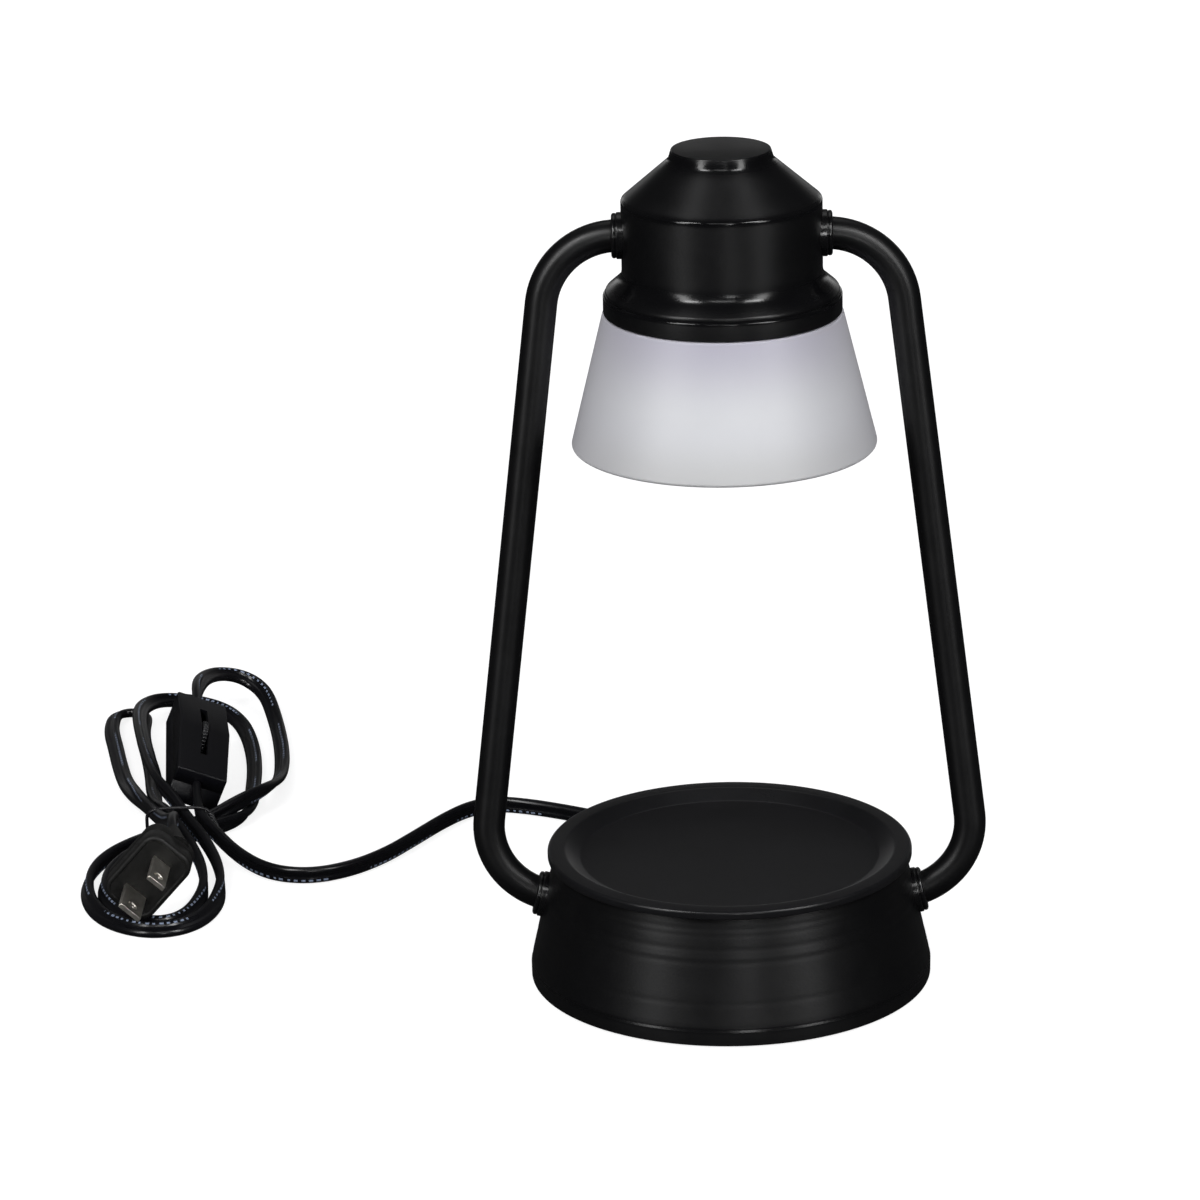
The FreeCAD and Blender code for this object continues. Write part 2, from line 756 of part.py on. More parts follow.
base_inside = DOC.addObject("Part::Cone", "base_inside")
bind(
    base_inside,
    Radius1="base_r - base_wall",
    Radius2=f"{NECK_R} - base_wall",
    Height=f"{SHELL_TOP} - base_wall - {BAND_TOP}",
)
placed(base_inside, z=BAND_TOP)
WALL_SQUARE = SIZE["base_wall"] * math.cos(LEAN)
base_saddle_disc = along_wall(
    cylinder("base_saddle_disc", f"{SADDLE_DIA} / 2", "base_saddle_thick"),
    WALL_SQUARE + SIZE["base_saddle_thick"],
)
base_saddle_bore = along_wall(
    cylinder("base_saddle_bore", "tube_dia / 2", "tube_tail * 2"), SIZE["tube_tail"] * 1.5
)
base_saddle = cut(
    "base_saddle", common("base_saddle_fit", base_saddle_disc, base_inside), base_saddle_bore
)
node(mirrored_pair("base_saddle_pair", base_saddle), "base_saddle_washers")

base_nut_hex = along_wall(
    hexagon("base_nut_hex", LOCK_NUT_FLATS, "lock_nut_thick"),
    WALL_SQUARE + SIZE["base_saddle_thick"] + SIZE["lock_nut_thick"],
)
base_nut_bore = along_wall(
    cylinder("base_nut_bore", "tube_dia / 2", "tube_tail * 2"), SIZE["tube_tail"] * 1.5
)
node(
    mirrored_pair("base_nut_pair", cut("base_nut", base_nut_hex, base_nut_bore)),
    "base_lock_nuts",
)

# ---------------------------------------------------------------- hood

hood_turned = turned(
    "hood_turned",
    [
        ("collar_r", "collar_bottom"),
        ("collar_r", COLLAR_TOP),
        (FLARE_R, f"{COLLAR_TOP} + collar_step * 0.4"),
        (FLARE_R, FLARE_Z),
        ("hood_r", BARREL_Z),
        ("hood_r", SHOULDER_Z),
        ("knob_foot_r", KNOB_FOOT_Z),
        (KNOB_R, HEAD_TOP),
        ("0", HEAD_TOP),
        ("0", f"{HEAD_TOP} - head_wall"),
        (f"{KNOB_R} - head_wall", f"{HEAD_TOP} - head_wall"),
        ("knob_foot_r - head_wall", f"{KNOB_FOOT_Z} - head_wall * 0.4"),
        (HOOD_BORE_R, f"{SHOULDER_Z} - head_wall * 0.4"),
        (HOOD_BORE_R, f"{BARREL_Z} - head_wall * 0.6"),
        (f"{FLARE_R} - head_wall", f"{FLARE_Z} - head_wall * 0.6"),
        (f"{FLARE_R} - head_wall", "collar_bottom"),
    ],
    [
        ("hood_r", BARREL_Z, "hood_round"),
        (FLARE_R, FLARE_Z, "flare_round"),
        ("hood_r", SHOULDER_Z, "shoulder_round"),
        ("knob_foot_r", KNOB_FOOT_Z, "knob_round"),
        (KNOB_R, HEAD_TOP, "knob_edge"),
        ("collar_r", "collar_bottom", "head_wall * 0.4"),
    ],
)
node(cut("hood_cut", hood_turned, PASSAGE_RIGHT, PASSAGE_LEFT), "head_shell")

# ---------------------------------------------------------------- glass shade

SHADE_BORE_R = f"({SHADE_NECK_R} - glass_wall)"
node(
    turned(
        "shade_turned",
        [
            (SHADE_R, SHADE_BOTTOM),
            (SHADE_TOP_R, SHADE_SHOULDER_Z),
            (SHADE_NECK_R, SHADE_SHOULDER_Z),
            (SHADE_NECK_R, SHADE_NECK_TOP),
            (SHADE_HOLE_R, SHADE_NECK_TOP),
            (SHADE_HOLE_R, f"{SHADE_NECK_TOP} - glass_wall"),
            (SHADE_BORE_R, f"{SHADE_NECK_TOP} - glass_wall"),
            (SHADE_BORE_R, f"{SHADE_SHOULDER_Z} - glass_wall"),
            (f"{SHADE_TOP_R} - glass_wall * 0.8", f"{SHADE_SHOULDER_Z} - glass_wall"),
            (f"{SHADE_R} - glass_wall", SHADE_BOTTOM),
        ],
        [
            (SHADE_R, SHADE_BOTTOM, "shade_lip_round"),
            (f"{SHADE_R} - glass_wall", SHADE_BOTTOM, "shade_lip_round"),
            (SHADE_TOP_R, SHADE_SHOULDER_Z, "shade_lip_round"),
        ],
    ),
    "glass_shade",
)

RING_FOOT = f"({SHADE_NECK_TOP} - glass_wall - ring_thick)"
ring_disc = cylinder("ring_disc", f"{SHADE_BORE_R} - ring_clear", "ring_thick", z=RING_FOOT)
ring_bore = cylinder("ring_bore", "ring_inner_r", "ring_thick", z=RING_FOOT)
ring_screw_bore = cylinder(
    "ring_screw_bore", "screw_dia / 2", "ring_thick", x=RING_SCREW_R, z=RING_FOOT
)
node(
    cut(
        "ring_cut",
        ring_disc,
        ring_bore,
        turned_copies("ring_screw_bores", ring_screw_bore, 3),
    ),
    "shade_clamp_ring",
)
ring_screw_head = cylinder(
    "ring_screw_head",
    "screw_head_dia / 2",
    "screw_head_thick",
    x=RING_SCREW_R,
    z=f"{RING_FOOT} - screw_head_thick",
)
ring_screw_shank = cylinder(
    "ring_screw_shank",
    "screw_dia / 2",
    f"{CARRIER_TOP} - {RING_FOOT}",
    x=RING_SCREW_R,
    z=RING_FOOT,
)
node(
    turned_copies("ring_screw_set", fuse("ring_screw", ring_screw_head, ring_screw_shank), 3),
    "shade_screws",
)

# ---------------------------------------------------------------- lamp carrier and holder

carrier_disc = cylinder("carrier_disc", "hood_r - carrier_inset", "carrier_thick", z=SHADE_NECK_TOP)
ear = box(
    "ear",
    "carrier_thick",
    EAR_WIDTH,
    f"{EAR_TOP} - {SHADE_NECK_TOP}",
    x=EAR_INNER_X,
    y=f"-{EAR_WIDTH} / 2",
    z=SHADE_NECK_TOP,
)
ear_twin = box(
    "ear_twin",
    "carrier_thick",
    EAR_WIDTH,
    f"{EAR_TOP} - {SHADE_NECK_TOP}",
    x=f"-{EAR_OUTER_X}",
    y=f"-{EAR_WIDTH} / 2",
    z=SHADE_NECK_TOP,
)
carrier_bore = cylinder("carrier_bore", "bulb_base_r + carrier_hole_margin", "carrier_thick", z=SHADE_NECK_TOP)
carrier_ring_taps = turned_copies(
    "carrier_ring_taps",
    cylinder(
        "carrier_ring_tap",
        "screw_dia / 2",
        "carrier_thick",
        x=RING_SCREW_R,
        z=SHADE_NECK_TOP,
    ),
    3,
)
carrier_holder_taps = turned_copies(
    "carrier_holder_taps",
    cylinder(
        "carrier_holder_tap", "screw_dia / 2", "carrier_thick", x=HOLDER_SCREW_R, z=SHADE_NECK_TOP
    ),
    2,
    90.0,
)
ear_holes = cylinder(
    "ear_holes", "tube_dia / 2", f"{EAR_OUTER_X} * 2", x=f"-{EAR_OUTER_X}", z=HEAD_ENTRY_Z, axis=(1, 0, 0)
)
node(
    cut(
        "carrier_cut",
        fuse("carrier_whole", carrier_disc, ear, ear_twin),
        carrier_bore,
        carrier_ring_taps,
        carrier_holder_taps,
        ear_holes,
    ),
    "lamp_carrier",
)

HOLDER_FACE = CARRIER_TOP
PIN_PLATE_TOP = f"({HOLDER_FACE} + pin_face)"
CHAMBER_TOP = f"({PIN_PLATE_TOP} + chamber_height)"
HOLDER_TOP = f"({HOLDER_FACE} + holder_height)"


def ring_sector(name, middle_r, half_width, foot, height, first, last):
    """Slot along an arc about the lamp's axis, with round ends, from angle first to last."""
    def on_arc(angle, radius):
        turn = math.radians(angle)
        return Vector(radius * math.cos(turn), radius * math.sin(turn), foot)

    middle = (first + last) / 2
    outer = Part.Arc(
        on_arc(first, middle_r + half_width),
        on_arc(middle, middle_r + half_width),
        on_arc(last, middle_r + half_width),
    ).toShape()
    inner = Part.Arc(
        on_arc(last, middle_r - half_width),
        on_arc(middle, middle_r - half_width),
        on_arc(first, middle_r - half_width),
    ).toShape()
    sides = [
        Part.LineSegment(
            on_arc(last, middle_r + half_width), on_arc(last, middle_r - half_width)
        ).toShape(),
        Part.LineSegment(
            on_arc(first, middle_r - half_width), on_arc(first, middle_r + half_width)
        ).toShape(),
    ]
    face = Part.Face(Part.Wire([outer, sides[0], inner, sides[1]]))
    slot = face.extrude(Vector(0, 0, height))
    for angle in (first, last):
        end = Part.makeCylinder(half_width, height, on_arc(angle, middle_r))
        slot = slot.fuse(end)
    return own_shape(name, slot.removeSplitter())


def holder_slots():
    """Per pin: a narrow arc for the shank, a round entry for the head and a chamber behind. The
    bulb is locked at angle zero, and turns back by the twist angle to come out."""
    slots = []
    shank_half = number("pin_dia / 2 + pin_clear")
    head_half = number("pin_head_dia / 2 + pin_clear")
    face = number(HOLDER_FACE)
    plate = number("pin_face")
    for pin, start in enumerate((0.0, 180.0)):
        end = start - SIZE["twist_angle"]
        slots.append(
            ring_sector(
                f"shank_slot_{pin}", SIZE["pin_circle_r"], shank_half, face, plate, end, start
            )
        )
        entry = cylinder(f"entry_{pin}", "pin_head_dia / 2 + pin_clear", "pin_face")
        turn = math.radians(end)
        entry.Placement = Placement(
            Vector(
                SIZE["pin_circle_r"] * math.cos(turn), SIZE["pin_circle_r"] * math.sin(turn), face
            ),
            Rotation(),
        )
        slots.append(entry)
        slots.append(
            ring_sector(
                f"chamber_{pin}",
                SIZE["pin_circle_r"],
                head_half,
                number(PIN_PLATE_TOP),
                SIZE["chamber_height"],
                end,
                start,
            )
        )
    return slots


STEM_TOP = f"({HOLDER_TOP} + lead_dia)"
contact_stem_bores = turned_copies(
    "contact_stem_bores",
    cylinder(
        "contact_stem_bore",
        "lead_dia / 2",
        f"{HOLDER_TOP} - {CHAMBER_TOP}",
        x="pin_circle_r",
        z=CHAMBER_TOP,
    ),
    2,
)
holder_screw_bores = turned_copies(
    "holder_screw_bores",
    cylinder(
        "holder_screw_bore",
        "screw_dia / 2",
        "holder_flange_thick",
        x=HOLDER_SCREW_R,
        z=HOLDER_FACE,
    ),
    2,
    90.0,
)
node(
    cut(
        "holder_cut",
        fuse(
            "holder_whole",
            cylinder("holder_body", "holder_r", "holder_height", z=HOLDER_FACE),
            cylinder("holder_flange", "holder_r + holder_flange_width", "holder_flange_thick", z=HOLDER_FACE),
        ),
        contact_stem_bores,
        holder_screw_bores,
        *holder_slots(),
    ),
    "lamp_holder",
)

CONTACT_FOOT = f"({PIN_PLATE_TOP} + pin_head_thick + pin_clear)"
contact_pad = cylinder(
    "contact_pad",
    "pin_head_dia / 2 - pin_clear",
    f"{CHAMBER_TOP} - {CONTACT_FOOT}",
    x="pin_circle_r",
    z=CONTACT_FOOT,
)
contact_stem = cylinder(
    "contact_stem", "lead_dia / 2", f"{STEM_TOP} - {CHAMBER_TOP}", x="pin_circle_r", z=CHAMBER_TOP
)
node(
    turned_copies("contact_set", fuse("contact", contact_pad, contact_stem), 2),
    "holder_contacts",
)

holder_screw_head = cylinder(
    "holder_screw_head",
    "screw_head_dia / 2 - pin_clear * 2",
    "screw_head_thick",
    x=f"{HOLDER_SCREW_R} + pin_clear * 2",
    z=f"{HOLDER_FACE} + holder_flange_thick",
)
holder_screw_shank = cylinder(
    "holder_screw_shank",
    "screw_dia / 2",
    "carrier_thick + holder_flange_thick",
    x=HOLDER_SCREW_R,
    z=SHADE_NECK_TOP,
)
node(
    turned_copies(
        "holder_screw_set", fuse("holder_screw", holder_screw_head, holder_screw_shank), 2, 90.0
    ),
    "holder_screws",
)

# ---------------------------------------------------------------- twist-lock bulb

BULB_TOP = f"({HOLDER_FACE} - pin_clear / 2)"
BULB_FACE = f"({BULB_TOP} - bulb_length)"
BULB_SHOULDER = f"({BULB_TOP} - bulb_base_height)"
node(cylinder("bulb_neck", "bulb_base_r", "bulb_base_height", z=BULB_SHOULDER), "bulb_base")

node(
    turned(
        "reflector_turned",
        [
            ("bulb_r", BULB_FACE),
            ("bulb_r", f"{BULB_FACE} + bulb_rim_height"),
            ("bulb_r * 0.9", f"{BULB_FACE} + bulb_rim_height * 2.6"),
            ("bulb_r * 0.72", f"{BULB_FACE} + bulb_rim_height * 5"),
            ("bulb_base_r", BULB_SHOULDER),
            ("0", BULB_SHOULDER),
            ("0", f"{BULB_SHOULDER} - bulb_wall"),
            ("bulb_base_r - bulb_wall", f"{BULB_SHOULDER} - bulb_wall"),
            ("bulb_r * 0.72 - bulb_wall", f"{BULB_FACE} + bulb_rim_height * 5 - bulb_wall / 2"),
            ("bulb_r * 0.9 - bulb_wall", f"{BULB_FACE} + bulb_rim_height * 2.6 - bulb_wall / 2"),
            ("bulb_r - bulb_wall", f"{BULB_FACE} + lens_thick"),
            ("bulb_r - bulb_wall", BULB_FACE),
        ],
    ),
    "bulb_reflector",
)
node(cylinder("lens_disc", "bulb_r - bulb_wall", "lens_thick", z=BULB_FACE), "bulb_lens")

pin_shank = cylinder(
    "pin_shank",
    "pin_dia / 2",
    f"{PIN_PLATE_TOP} + pin_clear - {BULB_TOP}",
    x="pin_circle_r",
    z=BULB_TOP,
)
pin_head = cylinder(
    "pin_head",
    "pin_head_dia / 2",
    "pin_head_thick - pin_clear",
    x="pin_circle_r",
    z=f"{PIN_PLATE_TOP} + pin_clear / 2",
)
node(turned_copies("pin_set", fuse("pin", pin_shank, pin_head), 2), "bulb_pins")

# ---------------------------------------------------------------- cord gland

GLAND_WALL_Y = wall_radius(SIZE["gland_z"])
gland_barrel = cylinder(
    "gland_barrel",
    "gland_dia / 2",
    "gland_stand + gland_tail",
    y="base_r - gland_tail",
    z="gland_z",
    axis=(0, 1, 0),
)
gland_flange = cylinder(
    "gland_flange",
    GLAND_FLANGE_R,
    "gland_flange_thick * 2",
    z="gland_z",
    axis=(0, 1, 0),
)
gland_flange.Placement = Placement(
    Vector(0, GLAND_WALL_Y - SIZE["gland_flange_thick"], SIZE["gland_z"]),
    Rotation(Vector(0, 0, 1), Vector(0, 1, 0)),
)
gland_flange_fit = cut("gland_flange_fit", gland_flange, base_core)
gland_bore = cylinder(
    "gland_bore",
    "lead_dia / 2",
    "gland_tail",
    x="lead_pitch / 2",
    y="base_r - gland_tail",
    z="gland_z",
    axis=(0, 1, 0),
)
gland_bore_twin = cylinder(
    "gland_bore_twin",
    "lead_dia / 2",
    "gland_tail",
    x="-lead_pitch / 2",
    y="base_r - gland_tail",
    z="gland_z",
    axis=(0, 1, 0),
)
node(
    cut("gland_cut", fuse("gland_whole", gland_barrel, gland_flange_fit), gland_bore, gland_bore_twin),
    "cord_gland",
)

# ---------------------------------------------------------------- leads inside the lamp

CONNECTOR_Z = number(WEIGHT_TOP) + SIZE["connector_r"]


def connector(side):
    cap = Part.makeCone(
        SIZE["connector_r"],
        SIZE["connector_r"] * 0.6,
        SIZE["connector_length"],
        Vector(side * SIZE["connector_x"], SIZE["connector_y"], CONNECTOR_Z),
        Vector(0, -1, 0),
    )
    return cap


node(
    own_shape("connector_pair", Part.makeCompound([connector(1), connector(-1)])),
    "wire_connectors",
)


def leads(sections):
    """One round lead along each list of points, with gentle bends between."""
    solids = []
    for points, radii in sections:
        solids.append(pipe(bent_path(points, radii), SIZE["lead_dia"] / 2))
    return Part.makeCompound(solids)


def supply_section(side):
    gland_end = Vector(side * SIZE["lead_pitch"] / 2, SIZE["base_r"], SIZE["gland_z"])
    inside = Vector(gland_end.x, number("base_r - gland_tail - 2"), SIZE["gland_z"])
    mouth = connector_mouth(side, 1)
    before = mouth + Vector(0, SIZE["connector_length"], 0)
    return [gland_end, inside, before, mouth], [4.0, 4.0]


def connector_mouth(side, lane):
    """Where a lead meets a connector, on the left (-1) or right (1) lane of its mouth."""
    across = side * SIZE["connector_x"] + lane * 0.6 * SIZE["lead_dia"]
    return Vector(across, SIZE["connector_y"], CONNECTOR_Z)


node(own_shape("supply_leads_pair", leads([supply_section(1), supply_section(-1)])), "supply_leads")


def riser_section(side):
    """From a connector into the left tube, up through both bends and over to a contact stem.
    The right-hand lead crosses above the left-hand supply lead."""
    right = side > 0
    shift = Vector(0, side * SIZE["lead_pitch"] / 2, 0)
    mouth = connector_mouth(side, -1)
    start = [mouth, mouth + Vector(0, 3.0, 0)] if right else [mouth]
    lift = 2 * SIZE["lead_dia"] if right else 0.0
    before = mouth + Vector(0, 9.0 if right else 4.0, lift)
    turn_in = Vector(-number(f"{WEIGHT_R} - 16"), SIZE["connector_y"] + (9.0 if right else 4.0), CONNECTOR_Z + lift)
    inward = WALL_OUTWARD * (9.0 if right else 13.0)
    tube_mouth = mirror_x(TUBE_BASE_END - inward) + shift
    foot = mirror_x(FRAME_FOOT) + shift
    top = mirror_x(FRAME_TOP) + shift
    run_out = Vector(-number(f"{TUBE_END_X} - 2"), shift.y, FRAME_TOP.z)
    stem = Vector(side * SIZE["pin_circle_r"], 0, number(STEM_TOP))
    rise = Vector(0, 0, SIZE["lead_dia"] * 1.5)
    climb = Vector(-number("holder_r + 3"), shift.y, stem.z + rise.z)
    aside = Vector(-SIZE["pin_circle_r"] * (0.4 if right else 1.6), side * 4.0, climb.z)
    inside = [before, turn_in, tube_mouth]
    above = [run_out, climb, aside, stem + rise, stem]
    radii = [2.5, 4.0, 4.0, SIZE["bend_r"], SIZE["bend_r"], 2.5, 2.5, 2.0, 1.2]
    return start + inside + [foot, top] + above, [3.0] * (len(start) - 1) + radii


node(own_shape("riser_leads_pair", leads([riser_section(1), riser_section(-1)])), "riser_leads")

# ---------------------------------------------------------------- in-line switch

# Modelled along X with its thumbwheel on Y, then laid tilted on the cord's loops.
SWITCH_POSE = Placement(
    Vector(SIZE["switch_x"], SIZE["switch_y"], SIZE["switch_z"]),
    Rotation(SIZE["switch_yaw"], SIZE["switch_tilt"], SIZE["switch_roll"]),
)


def side_profile(name, outline, width):
    """A body padded across Y, symmetric, from an outline of (length, height)."""
    body = DOC.addObject("PartDesign::Body", name)
    sketch = plane_sketch(body, name + "_outline", "XZ_Plane", outline)
    pad = body.newObject("PartDesign::Pad", name + "_pad")
    pad.Profile = sketch
    pad.Midplane = True
    bind(pad, Length=width)
    DOC.recompute()
    return body


def soften_block(body, name, radius, kept_heights):
    """Rounds the outer edges of a padded block, but not the edges that lie level at the kept
    heights, such as a split plane or a ridge."""
    base = body.Tip
    edges = []
    for index, edge in enumerate(base.Shape.Edges, start=1):
        bounds = edge.BoundBox
        level = bounds.ZLength < 1e-6
        if level and any(abs(bounds.ZMin - number(kept)) < 1e-6 for kept in kept_heights):
            continue
        edges.append(f"Edge{index}")
    rounding = body.newObject("PartDesign::Fillet", name)
    rounding.Base = (base, edges)
    bind(rounding, Radius=radius)
    body.Tip = rounding
    DOC.recompute()


HALF = "(switch_length / 2)"
INNER_HALF = "(switch_length / 2 - switch_wall)"
lower_block = side_profile(
    "switch_lower_block",
    [
        (f"-{HALF}", "-switch_depth"),
        (HALF, "-switch_depth"),
        (HALF, "switch_split"),
        (f"-{HALF}", "switch_split"),
    ],
    "switch_width",
)
soften_block(lower_block, "switch_lower_edges", "switch_edge_round", ["switch_split"])
lower_cavity = side_profile(
    "switch_lower_cavity",
    [
        (f"-{INNER_HALF}", "-switch_depth + switch_wall"),
        (INNER_HALF, "-switch_depth + switch_wall"),
        (INNER_HALF, "switch_split"),
        (f"-{INNER_HALF}", "switch_split"),
    ],
    "switch_width - 2 * switch_wall",
)
upper_block = side_profile(
    "switch_upper_block",
    [
        (f"-{HALF}", "switch_split"),
        (HALF, "switch_split"),
        (HALF, "switch_end_height"),
        ("0", "switch_ridge"),
        (f"-{HALF}", "switch_end_height"),
    ],
    "switch_width",
)
soften_block(
    upper_block, "switch_upper_edges", "switch_edge_round", ["switch_split", "switch_ridge"]
)
upper_cavity = side_profile(
    "switch_upper_cavity",
    [
        (f"-{INNER_HALF}", "switch_split"),
        (INNER_HALF, "switch_split"),
        (INNER_HALF, "switch_end_height - switch_wall"),
        ("0", "switch_ridge - switch_wall"),
        (f"-{INNER_HALF}", "switch_end_height - switch_wall"),
    ],
    "switch_width - 2 * switch_wall",
)
wheel_slot = box(
    "wheel_slot",
    "switch_slot_length",
    "wheel_thick + 2 * wheel_side_gap",
    "switch_ridge",
    x="-switch_slot_length / 2",
    y="-wheel_thick / 2 - wheel_side_gap",
    z="switch_end_height - switch_wall - 1",
)


def screw_post(name, x, foot, height, radius):
    return cylinder(name, radius, height, x=x, z=foot)


lower_posts = [
    screw_post(
        f"lower_post_{index}",
        x,
        "-switch_depth",
        "switch_split + switch_depth",
        "screw_dia",
    )
    for index, x in enumerate((SWITCH_SCREW_X, f"-{SWITCH_SCREW_X}"))
]
upper_posts = [
    screw_post(
        f"upper_post_{index}",
        x,
        "switch_split",
        "switch_end_height - switch_split",
        "screw_dia",
    )
    for index, x in enumerate((SWITCH_SCREW_X, f"-{SWITCH_SCREW_X}"))
]
# The axle lies across the housing in two cheeks of the upper half, each side of the wheel.
CHEEK_THICK = "((switch_width - 2 * switch_wall - wheel_thick) / 2 - 1.2)"
cheeks = [
    box(
        f"cheek_{index}",
        "axle_dia * 2.4",
        CHEEK_THICK,
        f"switch_ridge - switch_wall - {WHEEL_Z} + axle_dia * 1.1",
        x="-axle_dia * 1.2",
        y=y,
        z=f"{WHEEL_Z} - axle_dia * 1.1",
    )
    for index, y in enumerate(
        ("switch_width / 2 - switch_wall - " + CHEEK_THICK, "-switch_width / 2 + switch_wall")
    )
]
upper_gable = side_profile(
    "switch_upper_gable",
    [
        (f"-{HALF}", "switch_split"),
        (HALF, "switch_split"),
        (HALF, "switch_end_height"),
        ("0", "switch_ridge"),
        (f"-{HALF}", "switch_end_height"),
    ],
    "switch_width",
)
axle_bore = cylinder(
    "axle_bore",
    "axle_dia / 2",
    "switch_width - switch_wall",
    y="-(switch_width - switch_wall) / 2",
    z=WHEEL_Z,
    axis=(0, 1, 0),
)
screw_bores = [
    screw_post(f"switch_bore_{index}", x, "-switch_depth", "switch_depth + 3.5", "screw_dia / 3")
    for index, x in enumerate((SWITCH_SCREW_X, f"-{SWITCH_SCREW_X}"))
]
screw_sinks = [
    screw_post(f"switch_sink_{index}", x, "-switch_depth", "screw_head_thick", "screw_dia * 0.75")
    for index, x in enumerate((SWITCH_SCREW_X, f"-{SWITCH_SCREW_X}"))
]
lower_shell = cut("switch_lower_shell", lower_block, lower_cavity)
lower_housing = cut(
    "switch_lower_cut",
    fuse("switch_lower_whole", lower_shell, *lower_posts),
    *screw_bores,
    *screw_sinks,
    axle_bore,
)
upper_shell = cut("switch_upper_shell", upper_block, upper_cavity)
cheeks_in = common("switch_cheeks", fuse("switch_cheek_pair", *cheeks), upper_gable)
upper_housing = cut(
    "switch_upper_cut",
    fuse("switch_upper_whole", upper_shell, cheeks_in, *upper_posts),
    *screw_bores,
    axle_bore,
    wheel_slot,
)


def wheel_body():
    """Knurled thumbwheel about Y: a disc with a bore and a ring of round notches."""
    body = DOC.addObject("PartDesign::Body", "thumbwheel")
    sketch = body.newObject("Sketcher::SketchObject", "wheel_disc")
    plane = [item for item in body.Origin.OriginFeatures if item.Role == "XZ_Plane"][0]
    sketch.AttachmentSupport = [(plane, "")]
    sketch.MapMode = "FlatFace"
    circles = (("0", WHEEL_Z, WHEEL_R), ("0", WHEEL_Z, "axle_dia / 2 + axle_clear"))
    add_circles(sketch, circles)
    pad = body.newObject("PartDesign::Pad", "wheel_pad")
    pad.Profile = sketch
    pad.Midplane = True
    bind(pad, Length="wheel_thick")
    DOC.recompute()
    notch = body.newObject("Sketcher::SketchObject", "wheel_notch")
    notch.AttachmentSupport = [(plane, "")]
    notch.MapMode = "FlatFace"
    add_circles(notch, (("0", f"{WHEEL_Z} + {WHEEL_R}", "wheel_notch_dia / 2"),))
    pocket = body.newObject("PartDesign::Pocket", "wheel_pocket")
    pocket.Profile = notch
    pocket.Midplane = True
    bind(pocket, Length="wheel_thick * 1.5")
    DOC.recompute()
    before = body.Shape.Volume
    centre = body.newObject("PartDesign::Line", "wheel_axis")
    centre.Placement = Placement(
        Vector(0, 0, number(WHEEL_Z)), Rotation(Vector(0, 0, 1), Vector(0, 1, 0))
    )
    ring = body.newObject("PartDesign::PolarPattern", "wheel_notch_ring")
    ring.Originals = [pocket]
    ring.Axis = (centre, [""])
    ring.Angle = 360.0
    bind(ring, Occurrences="wheel_notches")
    body.Tip = ring
    DOC.recompute()
    if body.Shape.Volume > before - 1e-6:
        raise RuntimeError("the thumbwheel's notches cut nothing")
    return body


def add_circles(sketch, circles):
    for index, (across, up, radius) in enumerate(circles):
        centre = Vector(number(across), number(up), 0)
        sketch.addGeometry(Part.Circle(centre, Vector(0, 0, 1), number(radius)), False)
        for kind, formula in (("DistanceX", across), ("DistanceY", up)):
            place = sketch.addConstraint(Sketcher.Constraint(kind, -1, 1, index, 3, number(formula)))
            sketch.setExpression(f"Constraints[{place}]", named(formula))
        place = sketch.addConstraint(Sketcher.Constraint("Radius", index, number(radius)))
        sketch.setExpression(f"Constraints[{place}]", named(radius))


wheel = wheel_body()
axle = cylinder(
    "axle",
    "axle_dia / 2",
    "switch_width - switch_wall",
    y="-(switch_width - switch_wall) / 2",
    z=WHEEL_Z,
    axis=(0, 1, 0),
)
CONTACT_LENGTH = f"({SWITCH_SCREW_X} - screw_dia - {WHEEL_R} - 3)"
contacts = [
    box(
        f"switch_contact_{index}",
        CONTACT_LENGTH,
        "wheel_thick",
        "contact_thick",
        x=x,
        y="-wheel_thick / 2",
        z="-switch_depth + switch_wall",
    )
    for index, x in enumerate((f"{WHEEL_R} + 2", f"-{WHEEL_R} - 2 - {CONTACT_LENGTH}"))
]
switch_screw_parts = []
for index, x in enumerate((SWITCH_SCREW_X, f"-{SWITCH_SCREW_X}")):
    head = screw_post(
        f"switch_screw_head_{index}",
        x,
        "-switch_depth + 0.3",
        "screw_head_thick - 0.3",
        "screw_dia * 0.75",
    )
    shank = screw_post(
        f"switch_screw_shank_{index}",
        x,
        "-switch_depth + screw_head_thick",
        "switch_depth + 3.5 - screw_head_thick",
        "screw_dia / 3",
    )
    switch_screw_parts.append(fuse(f"switch_screw_{index}", head, shank))


def laid(part, pose, name):
    """part as a group of its own, moved to pose."""
    holder = group(name + "_laid", part)
    holder.Placement = pose
    return node(holder, name)


laid(lower_housing, SWITCH_POSE, "switch_lower_housing")
laid(upper_housing, SWITCH_POSE, "switch_upper_housing")
laid(wheel, SWITCH_POSE, "switch_thumbwheel")
laid(axle, SWITCH_POSE, "switch_axle")
laid(group("switch_contact_pair", *contacts), SWITCH_POSE, "switch_contacts")
laid(group("switch_screw_pair", *switch_screw_parts), SWITCH_POSE, "switch_screws")

# ---------------------------------------------------------------- plug

# Modelled with its long side on X and its blades along -Y, then stood on a lower corner.
PLUG_POSE = Placement(
    Vector(SIZE["plug_x"], SIZE["plug_y"], SIZE["plug_z"]),
    Rotation(Vector(0, 1, 0), -SIZE["plug_tilt"]),
)


